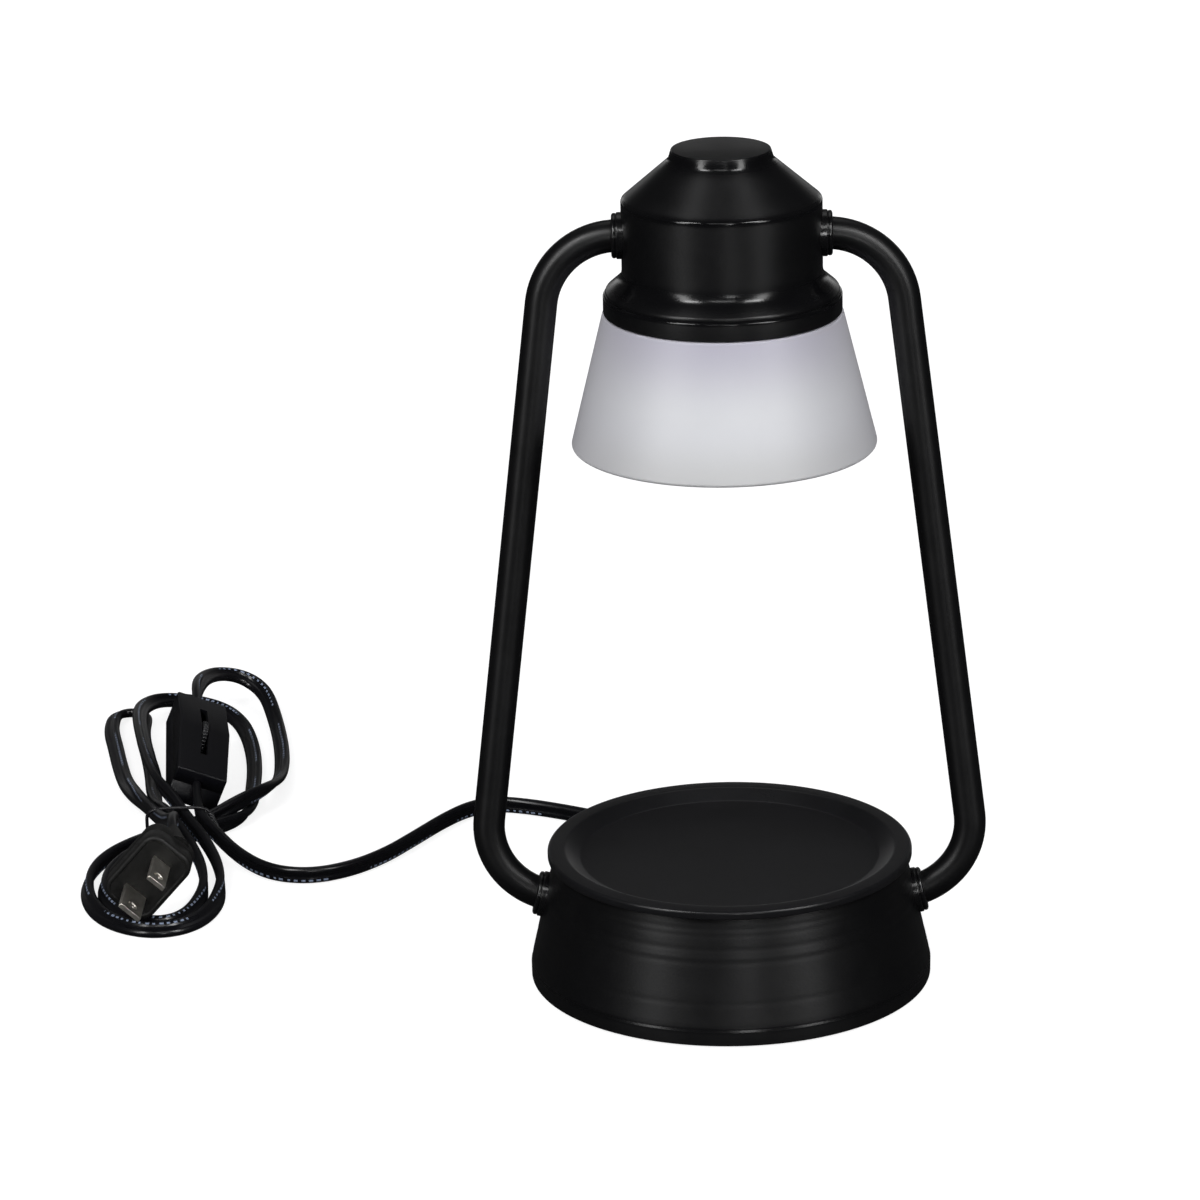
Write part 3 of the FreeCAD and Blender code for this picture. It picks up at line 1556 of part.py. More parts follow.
def plug_block():
    """Rounded rectangle across the blades, with softened front and back edges."""
    body = side_profile(
        "plug_block",
        [
            ("-plug_length / 2", "-plug_width / 2"),
            ("plug_length / 2", "-plug_width / 2"),
            ("plug_length / 2", "plug_width / 2"),
            ("-plug_length / 2", "plug_width / 2"),
        ],
        "plug_thick",
    )
    for name, radius, along in (
        ("plug_corners", "plug_corner_r", True),
        ("plug_edges", "plug_edge_round", False),
    ):
        base = body.Tip
        edges = [
            f"Edge{index}"
            for index, edge in enumerate(base.Shape.Edges, start=1)
            if (edge.BoundBox.YLength > 1e-6) == along
        ]
        rounding = body.newObject("PartDesign::Fillet", name)
        rounding.Base = (base, edges)
        bind(rounding, Radius=radius)
        body.Tip = rounding
        DOC.recompute()
    bind(body, Placement__Base__y="plug_thick / 2")
    return body


def boot_direction():
    """In the plug's own frame: out of the back, leaning a little."""
    return PLUG_POSE.Rotation.inverted().multVec(Vector(-0.18, 0.98, 0.18)).normalize()


BOOT_ROOT = Vector(
    SIZE["plug_length"] / 2 - SIZE["boot_dia"] * 0.45,
    SIZE["plug_thick"] * 0.75,
    -SIZE["boot_dia"] * 0.3,
)
BOOT_TIP = BOOT_ROOT + boot_direction() * (SIZE["boot_length"] + SIZE["plug_thick"] * 0.25)


def blade(name, side, width, reach):
    """A blade whose root is moulded into the body; reach is how far it stands out of the face."""
    return box(
        name,
        "blade_thick",
        f"blade_root + {reach}",
        width,
        x=f"{side} * blade_pitch / 2 - blade_thick / 2",
        y=f"-({reach})",
        z=f"-{width} / 2",
    )


def blade_hole(name, side):
    return cylinder(
        name,
        "blade_hole_dia / 2",
        "blade_thick * 3",
        x=f"{side} * blade_pitch / 2 - blade_thick * 1.5",
        y="-blade_hole_from_face",
        axis=(1, 0, 0),
    )


boot = DOC.addObject("Part::Cone", "plug_boot")
bind(boot, Radius1="boot_dia / 2", Radius2="boot_dia * 0.38")
bind(boot, Height="boot_length + plug_thick / 4")
boot.Placement = Placement(BOOT_ROOT, Rotation(Vector(0, 0, 1), boot_direction()))
plug_whole = cut(
    "plug_whole",
    fuse("plug_and_boot", plug_block(), boot),
    blade("narrow_socket", 1, "narrow_blade", "0"),
    blade("wide_socket", -1, "wide_blade", "0"),
)
narrow_blade = cut(
    "narrow_blade_cut",
    blade("narrow_strip", 1, "narrow_blade", "blade_length"),
    blade_hole("narrow_hole", 1),
)
wide_blade = cut(
    "wide_blade_cut",
    blade("wide_strip", -1, "wide_blade", "blade_length"),
    blade_hole("wide_hole", -1),
)
laid(plug_whole, PLUG_POSE, "plug_body")
laid(narrow_blade, PLUG_POSE, "plug_blade_narrow")
laid(wide_blade, PLUG_POSE, "plug_blade_wide")

# ---------------------------------------------------------------- cord

# Each route is a list of points chosen by hand between two ends that are set by the gland, the
# switch and the plug. The cord lies on the floor behind and to the left of the lamp, and is
# folded into loops that a wire tie holds.
LAMP_ROUTE = [
    (-1.2, 86.0, 10.2),
    (-6.0, 95.5, 7.4),
    (-13.5, 104.0, 5.0),
    (-24.5, 111.8, 3.4),
    (-37.46, 119.0, 3.0),
    (-51.38, 127.2, 3.0),
    (-65.1, 133.8, 3.0),
    (-76.1, 136.6, 3.0),
    (-84.7, 132.0, 3.0),
    (-92.32, 121.5, 3.0),
    (-100.6, 106.5, 3.0),
    (-109.5, 91.0, 3.0),
    (-120.0, 79.5, 3.0),
    (-132.5, 73.6, 3.0),
    (-145.5, 77.5, 3.0),
    (-156.0, 89.0, 4.2),
    (-164.4, 102.0, 7.0),
    (-170.17, 113.5, 8.3),
]
PLUG_ROUTE = [
    (-179.6, 212.61, 17.8),
    (-178.47, 227.81, 16.0),
    (-173.91, 239.94, 13.2),
    (-166.3, 245.0, 9.8),
    (-158.92, 238.88, 6.6),
    (-154.54, 222.27, 4.2),
    (-151.1, 202.0, 3.2),
    (-149.0, 183.0, 3.0),
    (-148.3, 166.0, 3.4),
    (-149.5, 151.0, 5.2),
    (-152.7, 138.5, 7.4),
    (-158.83, 128.8, 7.6),
    (-167.34, 121.4, 4.9),
    (-175.87, 115.2, 3.6),
    (-184.2, 109.2, 3.4),
    (-192.0, 102.2, 3.0),
    (-198.6, 92.0, 3.0),
    (-202.2, 77.5, 3.0),
    (-201.6, 61.0, 2.6),
    (-196.5, 45.8, 2.2),
    (-187.8, 35.4, 2.2),
    (-177.2, 31.0, 2.2),
    (-167.2, 34.8, 2.2),
    (-161.2, 46.2, 2.2),
    (-159.2, 62.0, 2.8),
    (-161.2, 79.5, 4.2),
    (-167.0, 96.0, 6.8),
    (-174.59, 113.0, 8.3),
    (-179.77, 124.0, 10.8),
    (-185.5, 135.5, 12.0),
    (-189.2, 150.5, 12.4),
    (-193.0, 168.0, 12.2),
    (-196.4, 187.0, 11.6),
    (-199.0, 205.99, 10.4),
    (-198.83, 221.22, 8.4),
    (-194.1, 233.5, 6.2),
    (-184.1, 239.6, 4.2),
    (-173.2, 234.0, 3.2),
    (-166.23, 221.22, 3.0),
    (-161.9, 205.0, 3.0),
    (-158.9, 187.0, 3.0),
    (-157.3, 170.0, 3.0),
    (-156.7, 154.0, 3.0),
    (-155.9, 140.0, 2.6),
    (-157.54, 127.6, 2.6),
    (-164.99, 118.0, 3.2),
    (-172.8, 111.4, 3.6),
    (-180.6, 105.6, 3.4),
    (-188.2, 98.4, 3.0),
    (-193.8, 88.0, 3.0),
    (-196.9, 75.0, 3.0),
    (-196.4, 61.5, 2.8),
    (-192.1, 49.2, 2.2),
    (-185.2, 40.2, 2.2),
    (-176.6, 36.4, 2.2),
    (-169.6, 40.6, 2.2),
    (-165.8, 50.2, 2.4),
    (-164.6, 62.5, 3.0),
    (-166.4, 78.5, 4.6),
    (-172.2, 95.0, 7.0),
    (-179.29, 113.0, 8.2),
    (-182.9, 124.5, 6.4),
    (-186.5, 137.0, 3.8),
    (-189.1, 151.5, 3.0),
    (-191.1, 168.0, 3.0),
    (-194.1, 186.0, 3.0),
    (-197.6, 203.5, 3.0),
    (-199.0, 215.5, 3.0),
    (-199.19, 223.0, 3.0),
    (-199.71, 228.4, 3.0),
    (-202.58, 231.8, 3.0),
    (-206.79, 231.6, 3.0),
    (-209.52, 228.2, 3.0),
    (-210.02, 222.5, 3.0),
    (-209.35, 212.0, 3.0),
    (-206.4, 197.0, 3.0),
    (-203.3, 180.0, 3.0),
    (-199.5, 162.0, 3.4),
    (-194.9, 144.5, 5.0),
    (-189.3, 128.0, 7.4),
    (-183.59, 113.0, 8.7),
    (-179.8, 98.0, 12.6),
    (-176.7, 84.5, 17.9),
    (-173.6, 72.4, 23.2),
]
RUN_SHARE = 0.45


def cord(name, start, start_along, route, end, end_along):
    """A round tube along the route. The first and last runs are square to the faces that the
    cord comes out of, and each bend takes 0.45 of the shorter of its two runs."""
    lead = SIZE["cord_lead"]
    points = [start, start + start_along * lead]
    points += [Vector(*point) for point in route]
    points += [end + end_along * lead, end]
    radii = []
    for index in range(1, len(points) - 1):
        back = points[index - 1] - points[index]
        ahead = points[index + 1] - points[index]
        half_turn = (math.pi - back.getAngle(ahead)) / 2
        radii.append(RUN_SHARE * min(back.Length, ahead.Length) / math.tan(half_turn))
    path = bent_path(points, radii)
    solid = pipe(path, SIZE["cord_dia"] / 2)
    expected = math.pi * (SIZE["cord_dia"] / 2) ** 2 * path.Length
    print(f"{name}: length {path.Length:.0f}, radii", " ".join(f"{r:.0f}" for r in radii))
    if abs(solid.Volume - expected) > 0.01 * expected:
        raise RuntimeError(f"{name}: volume {solid.Volume:.1f}, expected {expected:.1f}")
    return node(own_shape(name + "_tube", solid), name)


def switch_end(side):
    local = Vector(side * SIZE["switch_length"] / 2, 0, SIZE["switch_cord_z"])
    return SWITCH_POSE.multVec(local), SWITCH_POSE.Rotation.multVec(Vector(side, 0, 0))


near_end, near_along = switch_end(-1)
far_end, far_along = switch_end(1)
cord(
    "cord_lamp_side",
    Vector(0, number(GLAND_TIP_Y), SIZE["gland_z"]),
    Vector(0, 1, 0),
    LAMP_ROUTE,
    near_end,
    near_along,
)
cord(
    "cord_plug_side",
    far_end,
    far_along,
    PLUG_ROUTE,
    PLUG_POSE.multVec(BOOT_TIP),
    PLUG_POSE.Rotation.multVec(boot_direction()),
)


def tie_ring():
    """Closed loop of wire round the folded cord, in the plane square to Y."""
    half, corner, wire_r = SIZE["tie_half_width"], SIZE["tie_corner_r"], SIZE["tie_wire_dia"] / 2
    foot, top = wire_r, SIZE["tie_top"]
    x, y = SIZE["tie_x"], SIZE["tie_y"]
    corners = [
        Vector(x, y, foot),
        Vector(x + half, y, foot),
        Vector(x + half, y, top),
        Vector(x - half, y, top),
        Vector(x - half, y, foot),
        Vector(x, y, foot),
    ]
    path = bent_path(corners, [corner] * 4)
    ring = Part.Wire([Part.makeCircle(wire_r, corners[0], Vector(1, 0, 0))])
    return path.makePipeShell([ring], True, False)


node(own_shape("tie_wire", tie_ring()), "cord_tie")

# ---------------------------------------------------------------- checks and files

DOC.recompute()
for obj in DOC.Objects:
    if "Invalid" in obj.State or "Error" in obj.State:
        raise RuntimeError(f"{obj.Name}: {obj.State}")

os.makedirs("parts", exist_ok=True)
for obj in NODES:
    shape = obj.Shape
    if shape.isNull() or not shape.isValid() or not shape.Solids:
        raise RuntimeError(f"{obj.Label}: no valid solid")
    shape.exportStep(f"parts/{obj.Label}.step")
    print(f"{obj.Label}: solids {len(shape.Solids)}, volume {shape.Volume:.1f} mm3")
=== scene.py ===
"""Dresses the candle warmer lamp: camera and studio, the flat cord, spun and bent metal, frosted
glass, the in-line switch and the plug. Metres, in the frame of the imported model; sizes that are
written in millimetres are multiplied by MM."""

import math

import bmesh
import bpy
import numpy as np
from mathutils import Matrix, Vector


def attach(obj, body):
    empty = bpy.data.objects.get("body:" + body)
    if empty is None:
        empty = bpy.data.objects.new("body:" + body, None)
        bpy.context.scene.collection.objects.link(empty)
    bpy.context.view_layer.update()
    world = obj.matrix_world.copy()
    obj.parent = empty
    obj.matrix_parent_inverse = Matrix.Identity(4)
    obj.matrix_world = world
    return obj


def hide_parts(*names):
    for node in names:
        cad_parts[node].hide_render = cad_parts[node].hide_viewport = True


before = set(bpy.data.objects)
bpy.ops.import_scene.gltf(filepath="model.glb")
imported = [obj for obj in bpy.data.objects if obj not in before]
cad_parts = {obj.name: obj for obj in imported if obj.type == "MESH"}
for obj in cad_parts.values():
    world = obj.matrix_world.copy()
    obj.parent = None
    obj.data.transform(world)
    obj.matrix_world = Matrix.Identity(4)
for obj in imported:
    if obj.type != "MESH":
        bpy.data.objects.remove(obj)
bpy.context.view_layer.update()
scene = bpy.context.scene
MM = 0.001

# ------------------------------------------------------------ camera

PITCH, YAW, ROLL = math.radians(18.487), math.radians(-1.416), math.radians(-1.17)
CAMERA_PLACE = (0.0, -1.5073, 0.6223)
FOCAL_MM, SENSOR_MM = 161.76, 36.0


def turned_camera(pitch, yaw, roll):
    """Camera axes: forward from yaw and downward pitch, then right and up turned by roll."""
    ahead = np.array(
        [math.sin(yaw) * math.cos(pitch), math.cos(yaw) * math.cos(pitch), -math.sin(pitch)]
    )
    right = np.array([math.cos(yaw), -math.sin(yaw), 0.0])
    up = np.cross(right, ahead)
    across = math.cos(roll) * right + math.sin(roll) * up
    upward = -math.sin(roll) * right + math.cos(roll) * up
    return across, upward, ahead


lens = bpy.data.cameras.new("studio_lens")
lens.lens, lens.sensor_width = FOCAL_MM, SENSOR_MM
lens.clip_start, lens.clip_end = 0.05, 60.0
camera = bpy.data.objects.new("studio_camera", lens)
scene.collection.objects.link(camera)
across, upward, ahead = turned_camera(PITCH, YAW, ROLL)
placing = np.eye(4)
placing[:3, 0], placing[:3, 1], placing[:3, 2] = across, upward, -ahead
placing[:3, 3] = CAMERA_PLACE
camera.matrix_world = Matrix(placing.tolist())
scene.camera = camera

# ------------------------------------------------------------ surfaces


def linear(code):
    """Linear colour of an sRGB hex value."""
    value = np.array([int(code[place : place + 2], 16) for place in (1, 3, 5)]) / 255
    value = np.where(value <= 0.04045, value / 12.92, ((value + 0.055) / 1.055) ** 2.4)
    return (*value.tolist(), 1.0)


def surface(name, points, closed=False, uv=None, sharp=32.0):
    """Mesh over a grid of points, rows by columns. Columns close on themselves; rows too where
    closed is set, and otherwise the first and last rows are capped. Faces are turned outwards by
    the sign of the volume that they enclose, and points that coincide are merged. The map holds
    one number for each row and one for each column line, with one more for a closing line: by
    default the way travelled over the rows in metres, and the share of the way round."""
    rows, columns = points.shape[:2]
    index = np.arange(rows * columns).reshape(rows, columns)
    upper = np.roll(index, -1, 0) if closed else index[1:]
    lower = index if closed else index[:-1]
    quads = np.stack(
        [lower, np.roll(lower, -1, 1), np.roll(upper, -1, 1), upper], -1
    ).reshape(-1, 4)
    spots = points.reshape(-1, 3)
    a, b, c, d = (spots[quads[:, side]] for side in range(4))
    volume = np.einsum("ij,ij->i", a, np.cross(b, c)).sum() + np.einsum(
        "ij,ij->i", a, np.cross(c, d)
    ).sum()
    faces = quads.tolist()
    if not closed:
        faces += [index[0][::-1].tolist(), index[-1].tolist()]
    if volume < 0:
        faces = [face[::-1] for face in faces]
    mesh = bpy.data.meshes.new(name)
    mesh.from_pydata(spots.tolist(), [], faces)
    if uv is None:
        travel = np.linalg.norm(np.roll(points, -1, 0) - points, axis=2).mean(1)
        uv = (np.concatenate([[0], np.cumsum(travel)]), np.arange(columns + 1) / columns)
    down, around = uv
    corner = [(0, 0), (0, 1), (1, 1), (1, 0)]
    row, column = np.divmod(np.arange(len(quads)), columns)
    coordinates = np.stack(
        [np.stack([down[row + i], around[column + j]], -1) for i, j in corner], 1
    )
    if volume < 0:
        coordinates = coordinates[:, ::-1]
    caps = np.zeros((sum(len(face) for face in faces[len(quads) :]), 2))
    layer = mesh.uv_layers.new(name="along_and_round")
    layer.data.foreach_set(
        "uv", np.concatenate([coordinates.reshape(-1, 2), caps]).astype(np.float32).ravel()
    )
    return finished(name, mesh, sharp)


def finished(name, mesh, sharp=32.0):
    """Merges points that coincide, shades smooth up to the sharp angle, and links the object."""
    work = bmesh.new()
    work.from_mesh(mesh)
    bmesh.ops.remove_doubles(work, verts=work.verts, dist=1e-7)
    bmesh.ops.dissolve_degenerate(work, edges=work.edges, dist=1e-8)
    work.to_mesh(mesh)
    work.free()
    mesh.shade_smooth()
    mesh.set_sharp_from_angle(angle=math.radians(sharp))
    piece = bpy.data.objects.new(name, mesh)
    scene.collection.objects.link(piece)
    return piece


def corner_arc(before, corner, after, radius, steps=None, spacing=1.5):
    """Points of the arc of a radius that touches both sides of a corner. Its centre is at
    radius / sin(half) from the corner on the bisector, where half is half the angle between
    the sides. The points are evenly turned: steps of them, or one for each spacing."""
    back, on = before - corner, after - corner
    back, on = back / np.linalg.norm(back), on / np.linalg.norm(on)
    half = math.acos(np.clip(back @ on, -1, 1)) / 2
    swing = math.pi - 2 * half
    centre = corner + (back + on) / np.linalg.norm(back + on) * radius / math.sin(half)
    first = corner + back * radius / math.tan(half) - centre
    last = corner + on * radius / math.tan(half) - centre
    share = np.linspace(0, 1, steps or max(8, int(radius * swing / spacing)))[:, None]
    arc = (np.sin((1 - share) * swing) * first + np.sin(share * swing) * last) / math.sin(swing)
    return centre + arc


def softened(corners, steps=7):
    """Outline in millimetres through corners (r, z) or (r, z, radius): each corner with a radius
    gives way to points along its arc."""
    spots = [np.array(corner[:2], float) for corner in corners]
    outline = []
    for place, corner in enumerate(corners):
        radius = corner[2] if len(corner) > 2 else 0.0
        if radius:
            after = spots[(place + 1) % len(spots)]
            outline.extend(corner_arc(spots[place - 1], spots[place], after, radius, steps))
        else:
            outline.append(spots[place])
    return np.array(outline)


def spun(outline, steps=192):
    """Points of a turned shape: the outline (r, z) carried round Z, so that each point is
    (r cos a, r sin a, z) for angles a all the way round. Metres out, millimetres in."""
    angle = np.arange(steps) * 2 * math.pi / steps
    r, z = outline[:, :1], outline[:, 1:2]
    return (
        np.stack([r * np.cos(angle), r * np.sin(angle), np.broadcast_to(z, (len(r), steps))], -1)
        * MM
    )


def placed(points, turn, shift):
    """Points turned by a 3 by 3 matrix, then shifted."""
    return points @ np.asarray(turn, float).T + np.asarray(shift, float)


def turn_about(axis, degrees):
    """Turn matrix about a main axis: cosines and sines of the angle in the other two rows."""
    return np.array(Matrix.Rotation(math.radians(degrees), 3, axis))


def bent(corners, radius):
    """Centre line in millimetres through corners: straight runs, and arcs of the given radius
    tangent to both, the same as bent tube."""
    spots = [np.array(corner, float) for corner in corners]
    points = [spots[0]]
    for before, corner, after in zip(spots, spots[1:], spots[2:]):
        points.extend(corner_arc(before, corner, after, radius))
    return np.array([*points, spots[-1]])


def carried(line, section, upright):
    """Section carried along a line: row i is line[i] + w * wide[i] + t * thick[i] for each section
    point (w, t). thick is the tangent crossed with upright, wide is thick crossed with the
    tangent. section holds one outline, or one for each point of the line."""
    tangent = np.gradient(line, axis=0)
    tangent /= np.linalg.norm(tangent, axis=1, keepdims=True)
    thick = np.cross(tangent, upright)
    thick /= np.linalg.norm(thick, axis=1, keepdims=True)
    wide = np.cross(thick, tangent)
    section = np.broadcast_to(section, (len(line), *np.shape(section)[-2:]))
    return (
        line[:, None] + section[..., :1] * wide[:, None] + section[..., 1:] * thick[:, None]
    )


def ring(radius, steps=40):
    """Circle as section points."""
    angle = np.arange(steps) * 2 * math.pi / steps
    return np.stack([np.cos(angle), np.sin(angle)], -1) * radius


def dress(piece, body, nodes, material):
    """Rides the piece on its body, hides the nodes that it stands in for, and gives its finish."""
    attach(piece, body)
    if nodes:
        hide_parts(*nodes)
    piece.data.materials.append(material)
    return piece


def turned(name, outline, steps, node, material, body="lamp", closed=False):
    """A turned piece: its outline spun round Z, then dressed for the node that it replaces."""
    return dress(surface(name, spun(outline, steps), closed), body, [node], material)


# ------------------------------------------------------------ material nodes


def add(tree, kind, links=None, values=None, **settings):
    """Adds a node with its settings, its socket values and the links into it."""
    made = tree.nodes.new(kind)
    for setting, value in settings.items():
        setattr(made, setting, value)
    for socket, value in (values or {}).items():
        made.inputs[socket].default_value = value
    for socket, source in (links or {}).items():
        tree.links.new(source, made.inputs[socket])
    return made


def skin(name, dark, light, patch_mm, grain_mm, relief_mm, rough, swing, slant=None, **sockets):
    """Colour drifts from dark to light over patches, roughness swings with the patches, and a
    finer noise raises the surface by relief. Where slant is given, roughness goes to it as the
    view turns from 45 to 68 degrees off square, since a fine texture scatters a slant shine.
    Returns the material and its shader node."""
    material = bpy.data.materials.new(name)
    material.use_nodes = True
    tree = material.node_tree
    tree.nodes.clear()
    place = add(tree, "ShaderNodeTexCoord").outputs["Object"]
    patches = add(
        tree,
        "ShaderNodeTexNoise",
        {"Vector": place},
        {"Scale": 1 / (patch_mm * MM), "Detail": 5.0, "Roughness": 0.6},
        label="patches",
    ).outputs["Fac"]
    grain = add(
        tree,
        "ShaderNodeTexNoise",
        {"Vector": place},
        {"Scale": 1 / (grain_mm * MM), "Detail": 3.0, "Roughness": 0.55},
        label="grain",
    ).outputs["Fac"]
    colour = add(
        tree,
        "ShaderNodeMix",
        {0: patches},
        {6: linear(dark), 7: linear(light)},
        data_type="RGBA",
        label="colour",
    ).outputs[2]
    roughness = add(
        tree,
        "ShaderNodeMapRange",
        {"Value": patches},
        {"From Min": 0.3, "From Max": 0.7, "To Min": rough - swing, "To Max": rough + swing},
        label="roughness",
    ).outputs[0]
    if slant is not None:
        facing = add(tree, "ShaderNodeLayerWeight", values={"Blend": 0.5}).outputs["Facing"]
        roughness = add(
            tree,
            "ShaderNodeMapRange",
            {"Value": facing, "To Min": roughness},
            {"From Min": 0.30, "From Max": 0.62, "To Max": slant},
            interpolation_type="SMOOTHSTEP",
            label="slant roughness",
        ).outputs[0]
    relief = add(
        tree,
        "ShaderNodeBump",
        {"Height": grain},
        {"Strength": 1.0, "Distance": relief_mm * MM},
        label="relief",
    ).outputs[0]
    shader = add(
        tree,
        "ShaderNodeBsdfPrincipled",
        {"Base Color": colour, "Roughness": roughness, "Normal": relief},
        {socket.replace("_", " "): value for socket, value in sockets.items()},
    )
    add(tree, "ShaderNodeOutputMaterial", {"Surface": shader.outputs[0]})
    return material, shader


def black_coat(name, rough, **sockets):
    """Polyester powder coat over steel: soft black, a little waviness, and shine that spreads
    where it is seen aslant."""
    return skin(
        name,
        "#050506",
        "#09090a",
        patch_mm=9,
        grain_mm=0.7,
        relief_mm=0.022,
        rough=rough,
        swing=0.03,
        slant=0.42,
        IOR=1.5,
        **sockets,
    )


# Spun steel under the coat: highlights stretch along the profile, across the turning lines.
powder_coat, coat_shader = black_coat(
    "coat_over_spun_steel", 0.41, Specular_IOR_Level=0.27, Anisotropic=0.56
)
# Drawn tube under the coat: smoother, so that the bends glint.
tube_coat, tube_shader = black_coat(
    "coat_over_drawn_tube", 0.40, Specular_IOR_Level=0.34, Anisotropic=0.56
)
# Pressed rings, buffed before coating: thin bright lines on their rims.
ring_coat = black_coat("coat_over_buffed_rings", 0.22, Specular_IOR_Level=0.5)[0]


def stretched_along(material, shader):
    """Highlights stretch along the first direction of the piece's own map."""
    tree = material.node_tree
    along = add(
        tree, "ShaderNodeTangent", direction_type="UV_MAP", uv_map="along_and_round"
    ).outputs[0]
    tree.links.new(along, shader.inputs["Tangent"])


stretched_along(powder_coat, coat_shader)
stretched_along(tube_coat, tube_shader)


def burnished(material, shader, heights):
    """Where the spinning roller bears hardest, the surface is smoother. For each middle, reach and
    strength, roughness is multiplied by 1 - strength at the middle and rises smoothly to its own
    value at the reach. Millimetres."""
    tree = material.node_tree
    rough = shader.inputs["Roughness"].links[0].from_socket
    place = add(tree, "ShaderNodeTexCoord").outputs["Object"]
    height = add(tree, "ShaderNodeSeparateXYZ", {0: place}).outputs["Z"]
    for middle, reach, strength in heights:
        off = add(
            tree, "ShaderNodeMath", {0: height}, {1: -middle * MM}, operation="ADD"
        ).outputs[0]
        size = add(tree, "ShaderNodeMath", {0: off}, operation="ABSOLUTE").outputs[0]
        share = add(
            tree,
            "ShaderNodeMapRange",
            {"Value": size},
            {"From Min": 0.0, "From Max": reach * MM, "To Min": 1 - strength, "To Max": 1.0},
            interpolation_type="SMOOTHSTEP",
        ).outputs[0]
        rough = add(tree, "ShaderNodeMath", {0: rough, 1: share}, operation="MULTIPLY").outputs[0]
    tree.links.new(rough, shader.inputs["Roughness"])


burnished(
    powder_coat,
    coat_shader,
    (
        (252.2, 3.8, 0.56),
        (239.3, 1.8, 0.70),
        (216.2, 5.2, 0.56),
        (211.5, 1.2, 0.70),
        (5.4, 1.4, 0.40),
    ),
)
# The same coat on the plate, where it lies flatter and a little duller.
plate_coat = skin(
    "plate_powder_coat",
    "#0d0d0e",
    "#131315",
    patch_mm=14,
    grain_mm=1.1,
    relief_mm=0.010,
    rough=0.30,
    swing=0.04,
    slant=0.38,
    IOR=1.5,
    Specular_IOR_Level=0.24,
)[0]
# Acid-etched borosilicate glass: milky, with an even satin skin and light inside the wall.
frosted_glass, frost = skin(
    "acid_etched_glass",
    "#b9babe",
    "#c0c1c4",
    patch_mm=22,
    grain_mm=0.35,
    relief_mm=0.004,
    rough=0.5,
    swing=0.02,
    IOR=1.47,
    Transmission_Weight=0.12,
    Specular_IOR_Level=0.8,
)


def painted_shade_on_glass(material, shader):
    """Painted shade on milky glass. The colour goes from the wall's own towards violet grey as the
    facing weight grows: painted shade of the sides, which face away from the lamps, put down to
    the longer path through the wall. Violet grey is painted in at the top as the shade of the dark
    collar and the bulb close behind the wall, and the colour is a darker grey towards the lip."""
    tree = material.node_tree
    base = shader.inputs["Base Color"].links[0].from_socket
    place = add(tree, "ShaderNodeTexCoord").outputs["Object"]
    height = add(tree, "ShaderNodeSeparateXYZ", {0: place}).outputs["Z"]
    # Painted shade: violet grey at the top under the collar and the bulb, and a darker grey
    # towards the lip.
    for far, near, strength, shade_tint in (
        (0.184, 0.207, 0.85, "#93909f"),
        (0.182, 0.166, 0.50, "#a2a29f"),
    ):
        share = add(
            tree,
            "ShaderNodeMapRange",
            {"Value": height},
            {"From Min": far, "From Max": near, "To Max": strength},
            interpolation_type="SMOOTHSTEP",
        ).outputs[0]
        base = add(
            tree,
            "ShaderNodeMix",
            {0: share, 6: base},
            {7: linear(shade_tint)},
            data_type="RGBA",
        ).outputs[2]
    # Painted shade of the sides: greyer as the view turns aslant.
    slant = add(tree, "ShaderNodeLayerWeight", values={"Blend": 0.42}).outputs["Facing"]
    painted_side_shade = add(
        tree,
        "ShaderNodeMix",
        {0: slant, 6: base},
        {7: linear("#b8b7bc")},
        data_type="RGBA",
    )
    tree.links.new(painted_side_shade.outputs[2], shader.inputs["Base Color"])


# Painted shade on the frosted glass: greyer at the sides, at the top and towards the lip.
painted_shade_on_glass(frosted_glass, frost)
# Grey iron, sand cast: dark, dry and grainy.
cast_iron = skin(
    "sand_cast_iron", "#2c2b2a", "#4a4744", 6, 0.8, 0.09, 0.62, 0.1, Metallic=0.75
)[0]
# Zinc-plated steel: pale grey metal with cloudy spots.
zinc = skin(
    "zinc_plated_steel", "#a9abad", "#d2d4d4", 3, 0.5, 0.004, 0.34, 0.08, Metallic=1.0
)[0]
# Moulded ABS bottom cover with a spark-eroded grain.
cover_plastic = skin(
    "grained_abs", "#131314", "#1c1c1e", 8, 0.6, 0.03, 0.6, 0.06,
    IOR=1.53, Specular_IOR_Level=0.35,
)[0]
# Nitrile rubber: dull and slightly dusty.
rubber = skin(
    "nitrile_rubber", "#18181a", "#262627", 3, 0.5, 0.02, 0.78, 0.08,
    IOR=1.52, Specular_IOR_Level=0.3,
)[0]
# Steatite, pressed and fired: off-white, chalky and faintly speckled.
steatite = skin("steatite", "#cfcabd", "#e6e2d6", 1.2, 0.4, 0.02, 0.58, 0.08, IOR=1.6)[0]
bulb_ceramic = skin(
    "alumina_ceramic", "#dcdad2", "#efeee9", 1.5, 0.4, 0.01, 0.45, 0.08, IOR=1.7
)[0]
# Stamped brass: warm yellow metal, a little tarnished.
brass = skin("stamped_brass", "#9d7a34", "#c9a65a", 2, 0.5, 0.006, 0.3, 0.1, Metallic=1.0)[0]
# Vapour-coated aluminium on pressed glass: bright mirror with soft facets.
mirror = skin(
    "vapour_coated_mirror", "#d9dadc", "#ecedee", 8, 2.4, 0.05, 0.1, 0.03, Metallic=1.0
)[0]
# Pressed lamp glass with a dimpled face.
lamp_glass = skin(
    "pressed_lamp_glass",
    "#f1f2f4",
    "#fafafa",
    patch_mm=10,
    grain_mm=1.8,
    relief_mm=0.12,
    rough=0.12,
    swing=0.04,
    IOR=1.5,
    Transmission_Weight=0.85,
)[0]
